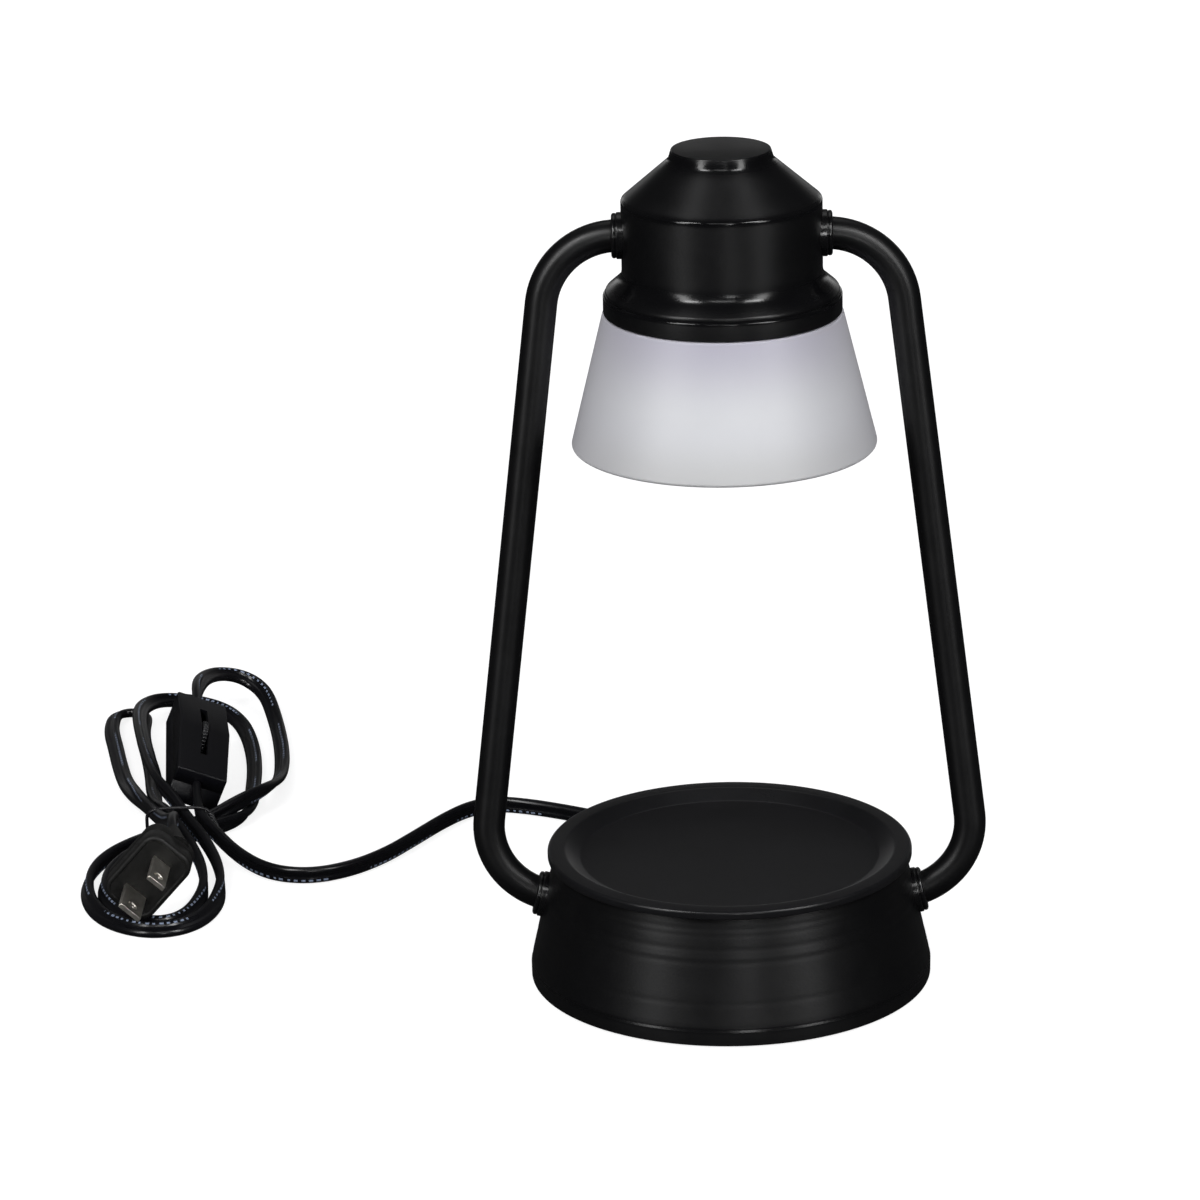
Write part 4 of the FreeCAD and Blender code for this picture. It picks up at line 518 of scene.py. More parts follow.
# Nickel plate on brass blades and pins: pale, warm-grey metal with a satin shine.
nickel = skin(
    "bright_nickel_plate", "#d3cec4", "#ece8df", 2.5, 0.4, 0.003, 0.34, 0.05, Metallic=1.0
)[0]
# Soft vinyl moulded over the blades: charcoal, mottled where it cooled.
plug_vinyl = skin(
    "moulded_plug_vinyl",
    "#070707",
    "#171716",
    patch_mm=1.3,
    grain_mm=0.4,
    relief_mm=0.035,
    rough=0.48,
    swing=0.12,
    slant=0.6,
    IOR=1.53,
    Specular_IOR_Level=0.22,
)[0]
# ABS housing of the switch: satin, fine texture.
switch_abs = skin(
    "satin_switch_abs",
    "#08080b",
    "#0d0d11",
    patch_mm=5,
    grain_mm=0.45,
    relief_mm=0.012,
    rough=0.38,
    swing=0.05,
    slant=0.55,
    IOR=1.53,
    Specular_IOR_Level=0.22,
)[0]
# Acetal wheel: smoother and a little glossier than the housing.
wheel_acetal = skin(
    "acetal_wheel", "#141416", "#1c1c1f", 3, 0.4, 0.006, 0.34, 0.04,
    IOR=1.48, Specular_IOR_Level=0.4,
)[0]
# Soft vinyl strain relief.
relief_vinyl = skin(
    "strain_relief_vinyl", "#131315", "#1e1e21", 3, 0.5, 0.02, 0.5, 0.06,
    IOR=1.53, Specular_IOR_Level=0.35,
)[0]
# Vinyl-coated tying wire.
tie_vinyl = skin(
    "tying_wire_coat", "#111113", "#1b1b1e", 2, 0.3, 0.006, 0.4, 0.06,
    IOR=1.53, Specular_IOR_Level=0.4,
)[0]
# Woven glass-fibre sleeve of the heat-proof leads: off-white, with a fine braid.
sleeve = skin("glass_fibre_sleeve", "#cdccc4", "#efeee8", 0.5, 0.3, 0.08, 0.75, 0.08, IOR=1.5)[0]
# Nylon wire connectors.
nylon = skin("nylon_connector", "#c9c5b8", "#dedbd0", 4, 0.6, 0.01, 0.5, 0.08, IOR=1.53)[0]

# Cord vinyl, drawn through a die: two rounded lobes with a satin shine along them, and a row of
# plain dash marks in pale ink on each face. The marks read the piece's own map: its first
# coordinate is metres along the cord, its second goes once round the section.
cord_vinyl, cord_shader = skin(
    "drawn_cord_vinyl",
    "#08080a",
    "#0e0e11",
    patch_mm=7,
    grain_mm=0.6,
    relief_mm=0.010,
    rough=0.24,
    swing=0.04,
    slant=0.42,
    IOR=1.53,
    Specular_IOR_Level=0.32,
)


def print_marks(material, shader):
    """Pale dashes: a mark shows where the place along the cord falls in a mark's share of its
    pitch, the place round the section falls on a face's row, and the run of marks is on."""
    tree = material.node_tree
    base = shader.inputs["Base Color"].links[0].from_socket
    where = add(tree, "ShaderNodeSeparateXYZ", {0: add(tree, "ShaderNodeUVMap").outputs[0]})
    along, around = where.outputs[0], where.outputs[1]

    def step(kind, first, second=None, third=None):
        given = [first, second, third]
        links = {i: s for i, s in enumerate(given) if isinstance(s, bpy.types.NodeSocket)}
        values = {i: s for i, s in enumerate(given) if isinstance(s, (int, float))}
        return add(tree, "ShaderNodeMath", links, values, operation=kind).outputs[0]

    # Marks 1.1 mm long on average at a 2.3 mm pitch, in runs of 34 mm with gaps of 14 mm.
    pitch = step("MULTIPLY", along, 1 / 0.0023)
    cell = step("FLOOR", pitch)
    size = add(
        tree, "ShaderNodeTexWhiteNoise", {"W": cell}, noise_dimensions="1D"
    ).outputs["Value"]
    longest = step("MULTIPLY_ADD", size, 0.42, 0.26)
    on_mark = step("LESS_THAN", step("FRACT", pitch), longest)
    on_run = step("LESS_THAN", step("FRACT", step("MULTIPLY", along, 1 / 0.048)), 0.7)
    # Two rows, one on each face, half a turn apart.
    row = step("ABSOLUTE", step("SUBTRACT", step("FRACT", step("MULTIPLY", around, 2.0)), 0.33))
    on_lobe = step("LESS_THAN", row, 0.044)
    ink = step("MULTIPLY", step("MULTIPLY", on_mark, on_run), on_lobe)
    printed = add(
        tree,
        "ShaderNodeMix",
        {0: step("MULTIPLY", ink, 0.55), 6: base},
        {7: linear("#98a5bd")},
        data_type="RGBA",
    )
    tree.links.new(printed.outputs[2], shader.inputs["Base Color"])


print_marks(cord_vinyl, cord_shader)

# ------------------------------------------------------------ flat cord

# The routes' points, in millimetres. Each starts and ends with its exit and a short straight lead.
LAMP_ROUTE = [
    (0.0, 66.5, 12.0),
    (0.0, 74.5, 12.0),
    (-1.2, 86.0, 10.2),
    (-6.0, 95.5, 7.4),
    (-13.5, 104.0, 5.0),
    (-24.5, 111.8, 3.4),
    (-37.46, 119.0, 3.0),
    (-51.38, 127.2, 3.0),
    (-65.1, 133.8, 3.0),
    (-76.1, 136.6, 3.0),
    (-84.7, 132.0, 3.0),
    (-92.32, 121.5, 3.0),
    (-100.6, 106.5, 3.0),
    (-109.5, 91.0, 3.0),
    (-120.0, 79.5, 3.0),
    (-132.5, 73.6, 3.0),
    (-145.5, 77.5, 3.0),
    (-156.0, 89.0, 4.2),
    (-164.4, 102.0, 7.0),
    (-170.17, 113.5, 8.3),
    (-172.36, 127.04, 9.30),
    (-173.06, 134.96, 10.21),
]
PLUG_ROUTE = [
    (-177.91, 190.39, 16.55),
    (-178.6, 198.3, 17.45),
    (-179.6, 212.61, 17.8),
    (-178.47, 227.81, 16.0),
    (-173.91, 239.94, 13.2),
    (-166.3, 245.0, 9.8),
    (-158.92, 238.88, 6.6),
    (-154.54, 222.27, 3.1),
    (-151.1, 202.0, 2.1),
    (-149.0, 183.0, 2.0),
    (-148.3, 166.0, 2.3),
    (-149.5, 151.0, 5.2),
    (-152.7, 138.5, 7.4),
    (-158.83, 128.8, 7.6),
    (-167.34, 121.4, 4.9),
    (-175.87, 115.2, 3.6),
    (-184.2, 109.2, 3.4),
    (-192.0, 102.2, 3.0),
    (-198.6, 92.0, 3.0),
    (-202.2, 77.5, 3.0),
    (-201.6, 61.0, 2.6),
    (-196.5, 45.8, 2.2),
    (-187.8, 35.4, 2.2),
    (-177.2, 31.0, 2.2),
    (-167.2, 34.8, 2.2),
    (-161.2, 46.2, 2.2),
    (-159.2, 62.0, 2.8),
    (-161.2, 79.5, 4.2),
    (-167.0, 96.0, 6.8),
    (-174.59, 113.0, 8.3),
    (-179.77, 124.0, 10.8),
    (-185.5, 135.5, 12.0),
    (-189.2, 150.5, 12.4),
    (-193.0, 168.0, 12.2),
    (-196.4, 187.0, 11.6),
    (-199.0, 205.99, 10.4),
    (-198.83, 221.22, 8.4),
    (-194.1, 233.5, 6.2),
    (-184.1, 239.6, 3.1),
    (-173.2, 234.0, 2.1),
    (-166.23, 221.22, 2.0),
    (-161.9, 205.0, 2.0),
    (-158.9, 187.0, 2.0),
    (-157.3, 170.0, 2.0),
    (-156.7, 154.0, 2.0),
    (-155.9, 140.0, 2.2),
    (-157.54, 127.6, 2.6),
    (-164.99, 118.0, 3.2),
    (-172.8, 111.4, 3.6),
    (-180.6, 105.6, 3.4),
    (-188.2, 98.4, 3.0),
    (-193.8, 88.0, 3.0),
    (-196.9, 75.0, 3.0),
    (-196.4, 61.5, 2.8),
    (-192.1, 49.2, 2.2),
    (-185.2, 40.2, 2.2),
    (-176.6, 36.4, 2.2),
    (-169.6, 40.6, 2.2),
    (-165.8, 50.2, 2.4),
    (-164.6, 62.5, 3.0),
    (-166.4, 78.5, 4.6),
    (-172.2, 95.0, 7.0),
    (-179.29, 113.0, 8.2),
    (-182.9, 124.5, 6.4),
    (-186.5, 137.0, 2.8),
    (-189.1, 151.5, 2.0),
    (-191.1, 168.0, 2.0),
    (-194.1, 186.0, 2.0),
    (-197.6, 203.5, 2.0),
    (-199.0, 215.5, 2.0),
    (-199.19, 223.0, 2.0),
    (-199.71, 228.4, 2.0),
    (-202.58, 231.8, 2.0),
    (-206.79, 231.6, 2.0),
    (-209.52, 228.2, 2.0),
    (-210.02, 222.5, 2.0),
    (-209.35, 212.0, 2.0),
    (-206.4, 197.0, 2.0),
    (-203.3, 180.0, 2.0),
    (-199.5, 162.0, 2.3),
    (-194.9, 144.5, 5.0),
    (-189.3, 128.0, 7.4),
    (-183.59, 113.0, 8.7),
    (-179.8, 98.0, 12.6),
    (-176.7, 84.5, 17.9),
    (-173.6, 72.4, 23.2),
    (-173.81, 60.45, 26.97),
    (-172.39, 52.7, 25.55),
]


def smooth_line(name, route, spacing=0.9):
    """Points at an even spacing along the NURBS curve that has the route as control points."""
    data = bpy.data.curves.new(name, "CURVE")
    data.dimensions = "3D"
    spline = data.splines.new("NURBS")
    spline.points.add(len(route) - 1)
    weighted = np.column_stack([np.array(route) * MM, np.ones(len(route))])
    spline.points.foreach_set("co", weighted.astype(np.float32).ravel())
    spline.order_u = 3
    spline.use_endpoint_u = True
    spline.resolution_u = 12
    holder = bpy.data.objects.new(name, data)
    scene.collection.objects.link(holder)
    bpy.context.view_layer.update()
    mesh = bpy.data.meshes.new_from_object(holder)
    spots = np.empty(len(mesh.vertices) * 3, np.float32)
    mesh.vertices.foreach_get("co", spots)
    spots = spots.reshape(-1, 3).astype(float)
    bpy.data.objects.remove(holder)
    bpy.data.meshes.remove(mesh)
    steps = np.linalg.norm(np.diff(spots, axis=0), axis=1)
    spots = spots[np.concatenate([[True], steps > 1e-6])]
    travelled = np.concatenate([[0], np.cumsum(np.linalg.norm(np.diff(spots, axis=0), axis=1))])
    even = np.linspace(0, travelled[-1], int(travelled[-1] / (spacing * MM)))
    line = np.stack([np.interp(even, travelled, spots[:, axis]) for axis in range(3)], -1)
    return line, even


CORD_WIDE, CORD_THICK = 5.5, 2.75


def two_lobes(steps=28):
    """Section of flat twin cord, millimetres: two round lobes side by side. At place w across the
    width the half thickness is the lobe's half chord, blended by sixth powers with a web."""
    angle = np.arange(steps) * 2 * math.pi / steps
    half, lobe = CORD_WIDE / 2, CORD_THICK / 2
    w = half * np.cos(angle)
    chord = np.sqrt(np.clip(lobe**2 - (np.abs(w) - lobe) ** 2, 0, None))
    web = 0.86 * np.sqrt(np.clip(1 - (w / half) ** 6, 0, None))
    t = (chord**6 + web**6) ** (1 / 6) * np.sign(np.sin(angle))
    t[np.abs(np.sin(angle)) < 1e-9] = 0
    return np.stack([w, t], -1)


def flat_cord(name, route, node, laid=0.0):
    """The two-lobed section carried along the route's smooth line, standing on its edge, and
    leaning where the line runs lower than half its width: the lean a is such that
    half_width^2 cos(a)^2 + half_thickness^2 sin(a)^2 is the height squared, less a clearance.
    At the back the lean is at least laid, in degrees: this fades in from y 0.13 to 0.15, and
    from 12 to 32 mm along the route."""
    line, along = smooth_line(name + "_line", route)
    section = two_lobes()
    clearance = 0.27
    height = line[:, 2] / MM - clearance
    wide, thick = (CORD_WIDE / 2) ** 2, (CORD_THICK / 2) ** 2
    lean = np.arccos(np.sqrt(np.clip((height**2 - thick) / (wide - thick), 0, 1)))
    far = np.clip((line[:, 1] - 0.130) / 0.020, 0, 1) * np.clip((along - 0.012) / 0.020, 0, 1)
    lean = np.maximum(lean, math.radians(laid) * far)
    smoothing = np.hanning(25) / np.hanning(25).sum()
    lean = np.convolve(np.pad(lean, 12, mode="edge"), smoothing, mode="valid")
    cosine, sine = np.cos(lean)[:, None], np.sin(lean)[:, None]
    w, t = section[:, 0] * MM, section[:, 1] * MM
    leaned = np.stack([w * cosine + t * sine, t * cosine - w * sine], -1)
    points = carried(line, leaned, np.array([0.0, 0.0, 1.0]))
    around = np.arange(len(section) + 1) / len(section)
    piece = surface(name, points, uv=(along, around), sharp=60)
    dress(piece, "lamp", [node], cord_vinyl)
    return piece, line


lamp_cord, lamp_line = flat_cord("cord_to_switch", LAMP_ROUTE, "cord_lamp_side")
plug_cord, plug_line = flat_cord("cord_to_plug", PLUG_ROUTE, "cord_plug_side", laid=52)

# ------------------------------------------------------------ base and plate


def turned_wall(low, high, ripples):
    """Straight wall from low to high (r, z) with shallow turning rings: each ring adds its height
    times a bell exp(-((z - middle) / width)^2) to the radius."""
    z = np.linspace(low[1], high[1], 70)
    r = np.interp(z, [low[1], high[1]], [low[0], high[0]])
    for middle, width, height in ripples:
        r = r + height * np.exp(-(((z - middle) / width) ** 2))
    return [tuple(point) for point in np.stack([r, z], -1)]


WALL_RINGS = (
    (34.6, 0.7, -0.07),
    (32.6, 0.6, -0.05),
    (28.6, 0.8, -0.08),
    (26.2, 0.5, 0.04),
    (24.8, 0.7, -0.06),
    (13.0, 0.8, -0.05),
)
base_outline = softened(
    [
        (60.0, 0.6, 0.5),
        (60.05, 4.9, 0.7),
        (59.8, 5.6, 0.4),
        *turned_wall((59.55, 7.2), (52.5, 38.6), WALL_RINGS),
        (52.3, 39.5, 0.3),
        (50.8, 39.5),
        (50.8, 38.5),
        (51.3, 38.5),
        (59.0, 5.2),
        (59.0, 4.0),
        (55.0, 4.0),
        (55.0, 3.0),
        (59.0, 3.0),
        (59.0, 0.6),
    ]
)
turned(
    "base_wall", base_outline, 256, "base_shell", powder_coat, closed=True
)

plate_outline = softened(
    [
        (0.0, 37.6),
        (44.6, 37.6, 1.6),
        (49.4, 40.5, 1.8),
        (54.5, 40.5, 0.95),
        (54.5, 38.0, 0.4),
        (53.5, 38.0, 0.3),
        (53.5, 39.5),
        (49.8, 39.5, 0.9),
        (45.0, 36.6, 0.9),
        (0.0, 36.6),
    ],
    9,
)
turned("dished_plate", plate_outline, 256, "warming_plate", plate_coat)

# ------------------------------------------------------------ bent tubes and escutcheons

TUBE_R = 4.75
LEAN = math.atan2(60.0 - 52.3, 39.5 - 5.2)
ENTRY = np.array([60.0 - (25.3 - 5.2) * math.tan(LEAN), 0.0, 25.3])
OUTWARD = np.array([math.cos(LEAN), 0.0, math.sin(LEAN)])
FOOT = ENTRY + OUTWARD * (74.1 - ENTRY[0]) / OUTWARD[0]
TUBE_CORNERS = [ENTRY - OUTWARD * 8.5, FOOT, (50.2, 0.0, 228.9), (20.8, 0.0, 228.9)]


def mirrored(points, side):
    """Points with X times side, which is 1 or -1."""
    return points * np.array([side, 1.0, 1.0])


def ringed(entry, outward, side, name, node):
    """Two-ring escutcheon turned about the tube, its foot under the wall's surface."""
    outline = softened(
        [
            (4.8, -2.0),
            (6.8, -2.0),
            (6.8, 1.25, 0.3),
            (6.35, 1.45, 0.12),
            (6.55, 1.75, 0.2),
            (6.55, 2.45, 0.45),
            (5.9, 2.8, 0.3),
            (4.8, 2.8),
        ],
        5,
    )
    points = spun(outline, 96)
    axis = Vector((0, 0, 1)).rotation_difference(Vector(outward)).to_matrix()
    points = mirrored(placed(points, axis, np.array(entry) * MM), side)
    piece = surface(name, points, closed=True)
    return dress(piece, "lamp", [node], ring_coat)


for side, hand in ((1, "right"), (-1, "left")):
    line = bent(TUBE_CORNERS, 22.5)
    tube = carried(line, ring(TUBE_R, 48), np.array([0.0, 1.0, 0.0])) * MM
    dress(
        surface(f"tube_{hand}", mirrored(tube, side)),
        "lamp",
        [f"frame_tube_{hand}"],
        tube_coat,
    )
    ringed(ENTRY, OUTWARD, side, f"base_rings_{hand}", "base_escutcheons")
    ringed((29.1, 0.0, 228.9), (1.0, 0.0, 0.0), side, f"hood_rings_{hand}", "head_escutcheons")

# ------------------------------------------------------------ hood and shade

hood_outline = softened(
    [
        (34.7, 206.3, 0.35),
        (34.7, 211.45, 0.6),
        (34.0, 211.8, 0.0),
        (34.0, 212.8, 1.1),
        (29.1, 217.0, 4.5),
        (29.1, 239.45, 1.0),
        (15.3, 251.35, 2.4),
        (14.4, 254.3, 0.4),
        (0.0, 254.3),
        (0.0, 253.3),
        (13.4, 253.3),
        (14.3, 250.95),
        (28.1, 239.05),
        (28.1, 216.4),
        (33.0, 212.2),
        (33.0, 206.3),
    ],
    9,
)
turned("spun_hood", hood_outline, 256, "head_shell", powder_coat)

shade_outline = softened(
    [
        (44.8, 166.0, 0.9),
        (34.95, 206.0, 0.8),
        (29.33, 206.0, 0.3),
        (29.33, 215.0, 0.6),
        (21.0, 215.0),
        (21.0, 213.0),
        (27.33, 213.0, 1.2),
        (27.33, 204.0, 1.0),
        (33.35, 204.0, 0.6),
        (42.8, 166.0, 0.9),
    ],
    9,
)
turned(
    "frosted_shade", shade_outline, 256, "glass_shade", frosted_glass, closed=True
)

# ------------------------------------------------------------ bulb

reflector_outline = softened(
    [
        (25.0, 169.6, 0.3),
        (25.0, 172.6, 0.5),
        (24.2, 173.2),
        (23.4, 176.9, 6.0),
        (18.2, 187.6, 12.0),
        (10.4, 200.2, 0.8),
        (10.0, 201.1),
        (0.0, 201.1),
        (0.0, 199.7),
        (8.6, 199.7, 0.8),
        (16.7, 186.9, 12.0),
        (21.9, 176.4, 6.0),
        (23.6, 171.9),
        (23.6, 169.6),
    ],
    7,
)
turned("bulb_bowl", reflector_outline, 120, "bulb_reflector", mirror, "bulb")
face_r = np.linspace(0, 23.5, 60)
lens_outline = np.concatenate(
    [
        np.stack([face_r, 169.75 + 0.12 * np.cos(face_r * 2.1)], -1),
        np.stack([face_r[::-1], np.full(60, 171.75)], -1),
    ]
)
turned("bulb_face", lens_outline, 120, "bulb_lens", lamp_glass, "bulb")
neck_outline = softened(
    [
        (0.0, 201.15),
        (10.0, 201.15, 0.4),
        (10.0, 206.0),
        (9.7, 206.3),
        (9.7, 207.7),
        (10.0, 208.0),
        (10.0, 216.05, 0.7),
        (0.0, 216.05),
    ],
    5,
)
turned("bulb_neck", neck_outline, 96, "bulb_base", bulb_ceramic, "bulb")

# ------------------------------------------------------------ strain relief


def relief_boot():
    """Tapered sleeve round the first run of the cord: at share q of its length the radius is
    4.45 - 1.1 q, less a groove of 0.42 where the cosine of 6.5 turns over the length is under
    -0.35. A flange stands 2.1 proud over the first 0.12, and the sleeve flattens by 0.28 q."""
    count = 96
    inside = np.stack([np.zeros(12), np.linspace(57.4, 66.4, 12), np.full(12, 12.0)], -1) * MM
    reach = lamp_line[:16]
    line = np.concatenate([inside, reach])
    q = np.linspace(0, 1, count)
    place = np.linspace(0, len(line) - 1, count)
    line = np.stack([np.interp(place, np.arange(len(line)), line[:, i]) for i in range(3)], -1)
    groove = 0.42 * (np.cos(q * 2 * math.pi * 6.5) < -0.35) * (q > 0.2) * (q < 0.95)
    groove = np.convolve(np.pad(groove, 2, mode="edge"), np.ones(5) / 5, mode="valid")
    radius = 4.45 - 1.1 * q - groove
    radius[-3:] -= np.array([0.15, 0.35, 0.8])
    flange = (q < 0.12) * 2.1
    around = np.arange(48) * 2 * math.pi / 48
    section = np.stack(
        [
            (radius + flange)[:, None] * np.cos(around),
            (radius * (1 - 0.28 * q) + flange)[:, None] * np.sin(around),
        ],
        -1,
    )
    return carried(line, section * MM, np.array([0.0, 0.0, 1.0]))


dress(
    surface("cord_boot", relief_boot(), sharp=40),
    "lamp",
    ["cord_gland"],
    relief_vinyl,
)

# ------------------------------------------------------------ in-line switch

SWITCH_TURN = turn_about("Z", 95) @ turn_about("Y", -6.5) @ turn_about("X", 22)
SWITCH_PLACE = np.array([-175.1, 162.6, 14.3]) * MM


def merged_copy(name, node, sharp=28.0):
    """A copy of a node's mesh with its loose triangles merged, shaded smooth on its fillets."""
    return finished(name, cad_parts[node].data.copy(), sharp)


for half in ("lower", "upper"):
    copy = merged_copy(f"switch_half_{half}", f"switch_{half}_housing")
    copy.data.materials.clear()
    dress(copy, "lamp", [f"switch_{half}_housing"], switch_abs)


def knurled_wheel():
    """Thumbwheel about Y: the rim's radius at angle a is 7.6 - 0.42 (1 - |sin 18a|^0.8), which
    makes 36 teeth. Its edges are softened and it is bored for its axle."""
    around = np.arange(432) * 2 * math.pi / 432
    teeth = 0.42 * np.abs(np.sin(18 * around)) ** 0.8
    outline = softened(
        [
            (1.25, -1.0),
            (7.1, -1.0, 0.4),
            (7.6, -0.7, 0.3),
            (7.6, 0.7, 0.3),
            (7.1, 1.0, 0.4),
            (1.25, 1.0),
        ],
        4,
    )
    r, z = outline[:, :1], outline[:, 1:]
    worn = np.clip((r - 6.9) / 0.7, 0, 1)
    radius = r - worn * (0.42 - teeth)
    middle = 1.4
    x, up = radius * np.cos(around), radius * np.sin(around) + middle
    return np.stack([x, np.broadcast_to(z, radius.shape), up], -1) * MM


wheel_points = placed(knurled_wheel(), SWITCH_TURN, SWITCH_PLACE)
dress(
    surface("knurled_wheel", wheel_points, closed=True, sharp=35),
    "thumbwheel",
    ["switch_thumbwheel"],
    wheel_acetal,
)

# ------------------------------------------------------------ plug

PLUG_TURN = turn_about("Y", -48.2)
PLUG_PLACE = np.array([-178.8, 34.0, 18.5]) * MM


def rounded_block(length, width, corner, depth_outline, steps=16):
    """Rounded rectangle in the XZ plane, whose size at each level is the outline's inset: its
    straight sides keep their place while the corner circles shrink or grow with the inset."""
    quarter = np.linspace(0, math.pi / 2, steps)
    angle = np.concatenate([quarter + turn * math.pi / 2 for turn in range(4)])
    sign_x = np.repeat([1, -1, -1, 1], steps)
    sign_z = np.repeat([1, 1, -1, -1], steps)
    inset, depth = depth_outline[:, :1], depth_outline[:, 1:]
    reach = corner - inset
    x = sign_x * (length / 2 - corner) + reach * np.cos(angle)
    z = sign_z * (width / 2 - corner) + reach * np.sin(angle)
    return np.stack([x, np.broadcast_to(depth, x.shape), z], -1) * MM


plug_levels = softened(
    [
        (5.0, 0.35),
        (1.7, 0.35, 0.0),
        (1.3, 0.0, 0.3),
        (0.0, 0.0, 1.1),
        (0.0, 6.1),
        (0.14, 6.3),
        (0.14, 6.5),
        (0.0, 6.7),
        (0.0, 13.0, 2.0),
        (5.0, 13.0),
    ],
    7,
)
plug_points = rounded_block(26.0, 18.0, 5.0, plug_levels)
dress(
    surface("plug_moulding", placed(plug_points, PLUG_TURN, PLUG_PLACE), sharp=40),
    "lamp",
    ["plug_body"],
    plug_vinyl,
)


def plug_boot():
    """Tapered sleeve from the plug's back along the cord's last run: at share q of its length the
    radius is 4.4 - 1.5 q, flattened by 0.3 q, with a rounded lip at the tip."""
    tip = plug_line[-1] / MM
    along = (plug_line[-10] - plug_line[-1]) / np.linalg.norm(plug_line[-10] - plug_line[-1])
    root = tip - along * 10.5
    count = 40
    q = np.linspace(0, 1, count)
    line = (root + q[:, None] * (tip + along * 2.2 - root)) * MM
    radius = 4.4 - 1.5 * q
    radius[-3:] -= np.array([0.15, 0.4, 0.9])
    around = np.arange(48) * 2 * math.pi / 48
    section = np.stack(
        [
            radius[:, None] * np.cos(around),
            (radius * (1 - 0.3 * q))[:, None] * np.sin(around),
        ],
        -1,
    )
    return carried(line, section * MM, np.array([0.0, 0.0, 1.0]))


dress(
    surface("plug_sleeve", plug_boot(), sharp=40), "lamp", ["plug_body"], plug_vinyl
)

for width in ("narrow", "wide"):
    blade = merged_copy(f"blade_{width}", f"plug_blade_{width}")
    blade.data.materials.clear()
    edge = blade.modifiers.new("eased_edges", "BEVEL")
    edge.width, edge.segments, edge.limit_method = 0.3 * MM, 3, "ANGLE"
    edge.harden_normals = False
    dress(blade, "lamp", [f"plug_blade_{width}"], nickel)

# ------------------------------------------------------------ tying wire


def tie_line():
    """Loop of wire near the plane y = 113, off which it sways by 0.8: a superellipse
    x = 10.4 |cos|^0.55, z = 5.6 |sin|^0.55 with the signs of cosine and sine, about z = 6.3."""
    angle = np.linspace(0, 2 * math.pi, 181)[:-1]
    x = -177.0 + 10.4 * np.sign(np.cos(angle)) * np.abs(np.cos(angle)) ** 0.55
    z = 6.3 + 5.6 * np.sign(np.sin(angle)) * np.abs(np.sin(angle)) ** 0.55
    y = 113.0 + 0.8 * np.sin(angle * 2 + 0.6)
    return np.stack([x, y, z], -1)


def closed_tube(line, radius, steps=12):
    """Circle carried round a closed line that lies near a plane across Y."""
    tangent = np.roll(line, -1, 0) - np.roll(line, 1, 0)
    tangent /= np.linalg.norm(tangent, axis=1, keepdims=True)
    side = np.cross(tangent, [0.0, 1.0, 0.0])
    side /= np.linalg.norm(side, axis=1, keepdims=True)
    other = np.cross(side, tangent)
    circle = ring(radius, steps)
    return line[:, None] + circle[:, :1] * side[:, None] + circle[:, 1:] * other[:, None]


dress(
    surface("tie_loop", closed_tube(tie_line(), 0.55) * MM, closed=True, sharp=60),
    "lamp",
    ["cord_tie"],
    tie_vinyl,
)


def twisted_end(phase):
    """One strand of the twisted ends: a helix of radius 0.6 with 3.2 turns over 10.6 mm, along a
    line that runs forward and down from the loop's right side, splayed past share 0.82."""
    q = np.linspace(0, 1, 90)[:, None]
    start, end = np.array([-166.9, 112.6, 9.6]), np.array([-163.2, 103.2, 6.4])
    forward = (end - start) / np.linalg.norm(end - start)
    side = np.cross(forward, [0, 0, 1.0])
    side /= np.linalg.norm(side)
    other = np.cross(side, forward)
    turn = q * 2 * math.pi * 3.2 + phase
    spread = 0.6 + 4.2 * np.clip(q - 0.82, 0, 1)
    return start + (end - start) * q + spread * (np.cos(turn) * side + np.sin(turn) * other)


for index, phase in enumerate((0.0, math.pi)):
    strand = carried(twisted_end(phase), ring(0.55, 12), np.array([0.31, 0.12, 0.94])) * MM
    dress(
        surface(f"tie_end_{index}", strand, sharp=60), "lamp", ["cord_tie"], tie_vinyl
    )

# ------------------------------------------------------------ carried-over nodes

CARRIED_OVER = (
    (cover_plastic, ["bottom_cover"]),
    (rubber, ["rubber_feet"]),
    (cast_iron, ["base_weight"]),
    (zinc, ["cover_screws", "plate_stud", "clamp_washer", "clamp_nut"]),
    (zinc, ["head_saddle_washers", "head_lock_nuts", "base_saddle_washers", "base_lock_nuts"]),
    (zinc, ["shade_clamp_ring", "shade_screws", "lamp_carrier", "holder_screws"]),
    (zinc, ["switch_axle", "switch_screws"]),
    (steatite, ["lamp_holder"]),
    (brass, ["holder_contacts", "switch_contacts"]),
    (nickel, ["bulb_pins"]),
    (nylon, ["wire_connectors"]),
    (sleeve, ["supply_leads", "riser_leads"]),
)
for material, nodes in CARRIED_OVER:
    for node in nodes:
        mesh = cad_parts[node].data
        mesh.materials.clear()
        mesh.materials.append(material)

# ------------------------------------------------------------ studio

WHITE = (1, 1, 1, 1)
world = bpy.data.worlds.new("pale_studio")
world.use_nodes = True
scene.world = world
tree = world.node_tree
tree.nodes.clear()


def seen_directly(tree, through=1.0):
    """1 for rays from the camera, through for rays by way of gloss or glass, and 0 for light on
    the object. through is a number or a socket."""
    path = add(tree, "ShaderNodeLightPath")
    gloss = add(
        tree,
        "ShaderNodeMath",
        {0: path.outputs["Is Glossy Ray"], 1: path.outputs["Is Transmission Ray"]},
        operation="MAXIMUM",
    )
    return add(
        tree,
        "ShaderNodeMath",
        {0: gloss.outputs[0], 2: path.outputs["Is Camera Ray"]},
        {1: through},
        operation="MULTIPLY_ADD",
        use_clamp=True,
    ).outputs[0]


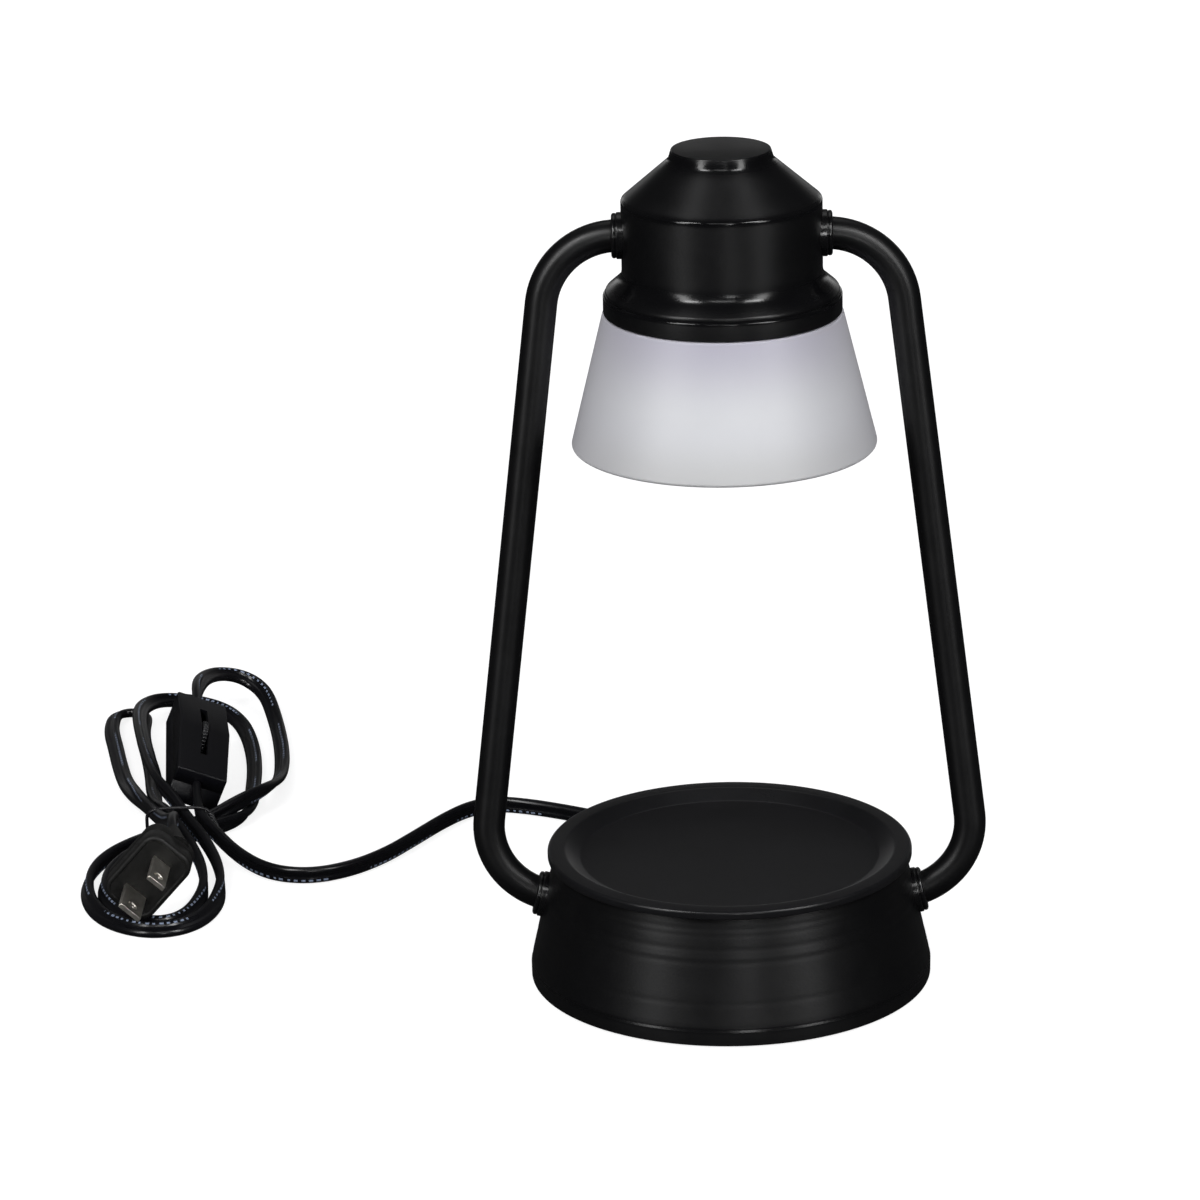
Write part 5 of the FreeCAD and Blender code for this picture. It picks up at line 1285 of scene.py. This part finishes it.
# The paper sweep is white at the horizon and ends 12 degrees above it, where gloss and glass see
# the studio's dim walls.
direction = add(
    tree,
    "ShaderNodeSeparateXYZ",
    {0: add(tree, "ShaderNodeTexCoord").outputs["Generated"]},
)
sweep = add(
    tree,
    "ShaderNodeMapRange",
    {"Value": direction.outputs["Z"]},
    {"From Min": 0.03, "From Max": 0.20, "To Min": 1.0, "To Max": 0.03},
    interpolation_type="SMOOTHSTEP",
)
behind = add(
    tree,
    "ShaderNodeMapRange",
    {"Value": direction.outputs["Y"], "To Max": sweep.outputs[0]},
    {"From Min": 0.80, "From Max": 0.97, "To Min": 0.03},
    interpolation_type="SMOOTHSTEP",
)
ambient = add(tree, "ShaderNodeBackground", values={"Color": linear("#f4f6ff"), "Strength": 0.19})
backdrop = add(tree, "ShaderNodeBackground", {"Strength": behind.outputs[0]}, {"Color": WHITE})
paper_white = add(tree, "ShaderNodeBackground", values={"Color": WHITE, "Strength": 1.0})
lit = add(
    tree,
    "ShaderNodeMixShader",
    {0: seen_directly(tree), 1: ambient.outputs[0], 2: backdrop.outputs[0]},
)
both = add(
    tree,
    "ShaderNodeMixShader",
    {0: seen_directly(tree, 0.0), 1: lit.outputs[0], 2: paper_white.outputs[0]},
)
add(tree, "ShaderNodeOutputWorld", {"Surface": both.outputs[0]})

paper = bpy.data.materials.new("white_paper")
paper.use_nodes = True
tree = paper.node_tree
tree.nodes.clear()
# Gloss sees the sheet as a dim table, so that dark pieces stay dark where they are seen aslant.
tone = add(
    tree,
    "ShaderNodeMix",
    {0: add(tree, "ShaderNodeLightPath").outputs["Is Glossy Ray"]},
    {6: linear("#8e8e8e"), 7: linear("#343434")},
    data_type="RGBA",
).outputs[2]
sheet = add(tree, "ShaderNodeBsdfDiffuse", {"Color": tone})
away = add(
    tree,
    "ShaderNodeVectorMath",
    {0: add(tree, "ShaderNodeTexCoord").outputs["Object"]},
    operation="LENGTH",
).outputs["Value"]
glow_share = add(
    tree,
    "ShaderNodeMapRange",
    {"Value": away},
    {"From Min": 0.35, "From Max": 1.1, "To Min": 0.84, "To Max": 1.0},
).outputs[0]
lift = add(
    tree, "ShaderNodeMath", {0: seen_directly(tree, 0.0), 1: glow_share}, operation="MULTIPLY"
)
glow = add(tree, "ShaderNodeEmission", {"Strength": lift.outputs[0]}, {"Color": WHITE})
white = add(tree, "ShaderNodeAddShader", {0: sheet.outputs[0], 1: glow.outputs[0]})
add(tree, "ShaderNodeOutputMaterial", {"Surface": white.outputs[0]})

floor_mesh = bpy.data.meshes.new("studio_floor")
REACH = 12
floor_mesh.from_pydata(
    [(-REACH, -REACH, 0), (REACH, -REACH, 0), (REACH, REACH, 0), (-REACH, REACH, 0)],
    [],
    [(0, 1, 2, 3)],
)
floor = bpy.data.objects.new("studio_floor", floor_mesh)
scene.collection.objects.link(floor)
floor_mesh.materials.append(paper)


LAMP_MIDDLE = Vector((0, 0, 0.13))


def soft_box(name, azimuth, elevation, distance, wide, high, watts):
    """Area lamp that looks at the lamp's middle from an azimuth off the front and a height."""
    data = bpy.data.lights.new(name, "AREA")
    data.shape, data.size, data.size_y, data.energy = "RECTANGLE", wide, high, watts
    lamp = bpy.data.objects.new(name, data)
    scene.collection.objects.link(lamp)
    a, e = math.radians(azimuth), math.radians(elevation)
    away = Vector((math.sin(a) * math.cos(e), -math.cos(a) * math.cos(e), math.sin(e)))
    lamp.location = LAMP_MIDDLE + away * distance
    lamp.rotation_euler = away.to_track_quat("Z", "Y").to_euler()


soft_box("left_box", -46, 27, 1.7, 0.36, 1.2, 14)
soft_box("right_box", 46, 27, 1.7, 0.36, 1.2, 13)
soft_box("left_spot", -42, 48, 1.7, 0.46, 0.26, 9)
soft_box("right_spot", 42, 48, 1.7, 0.46, 0.26, 9)
soft_box("front_box", 9, 12, 1.9, 0.26, 0.26, 4.0)
soft_box("top_box", 180, 60, 2.2, 1.2, 1.2, 3)
soft_box("brow_box", 0, 44, 1.7, 0.7, 0.16, 3.4)

scene.view_settings.view_transform = "Standard"
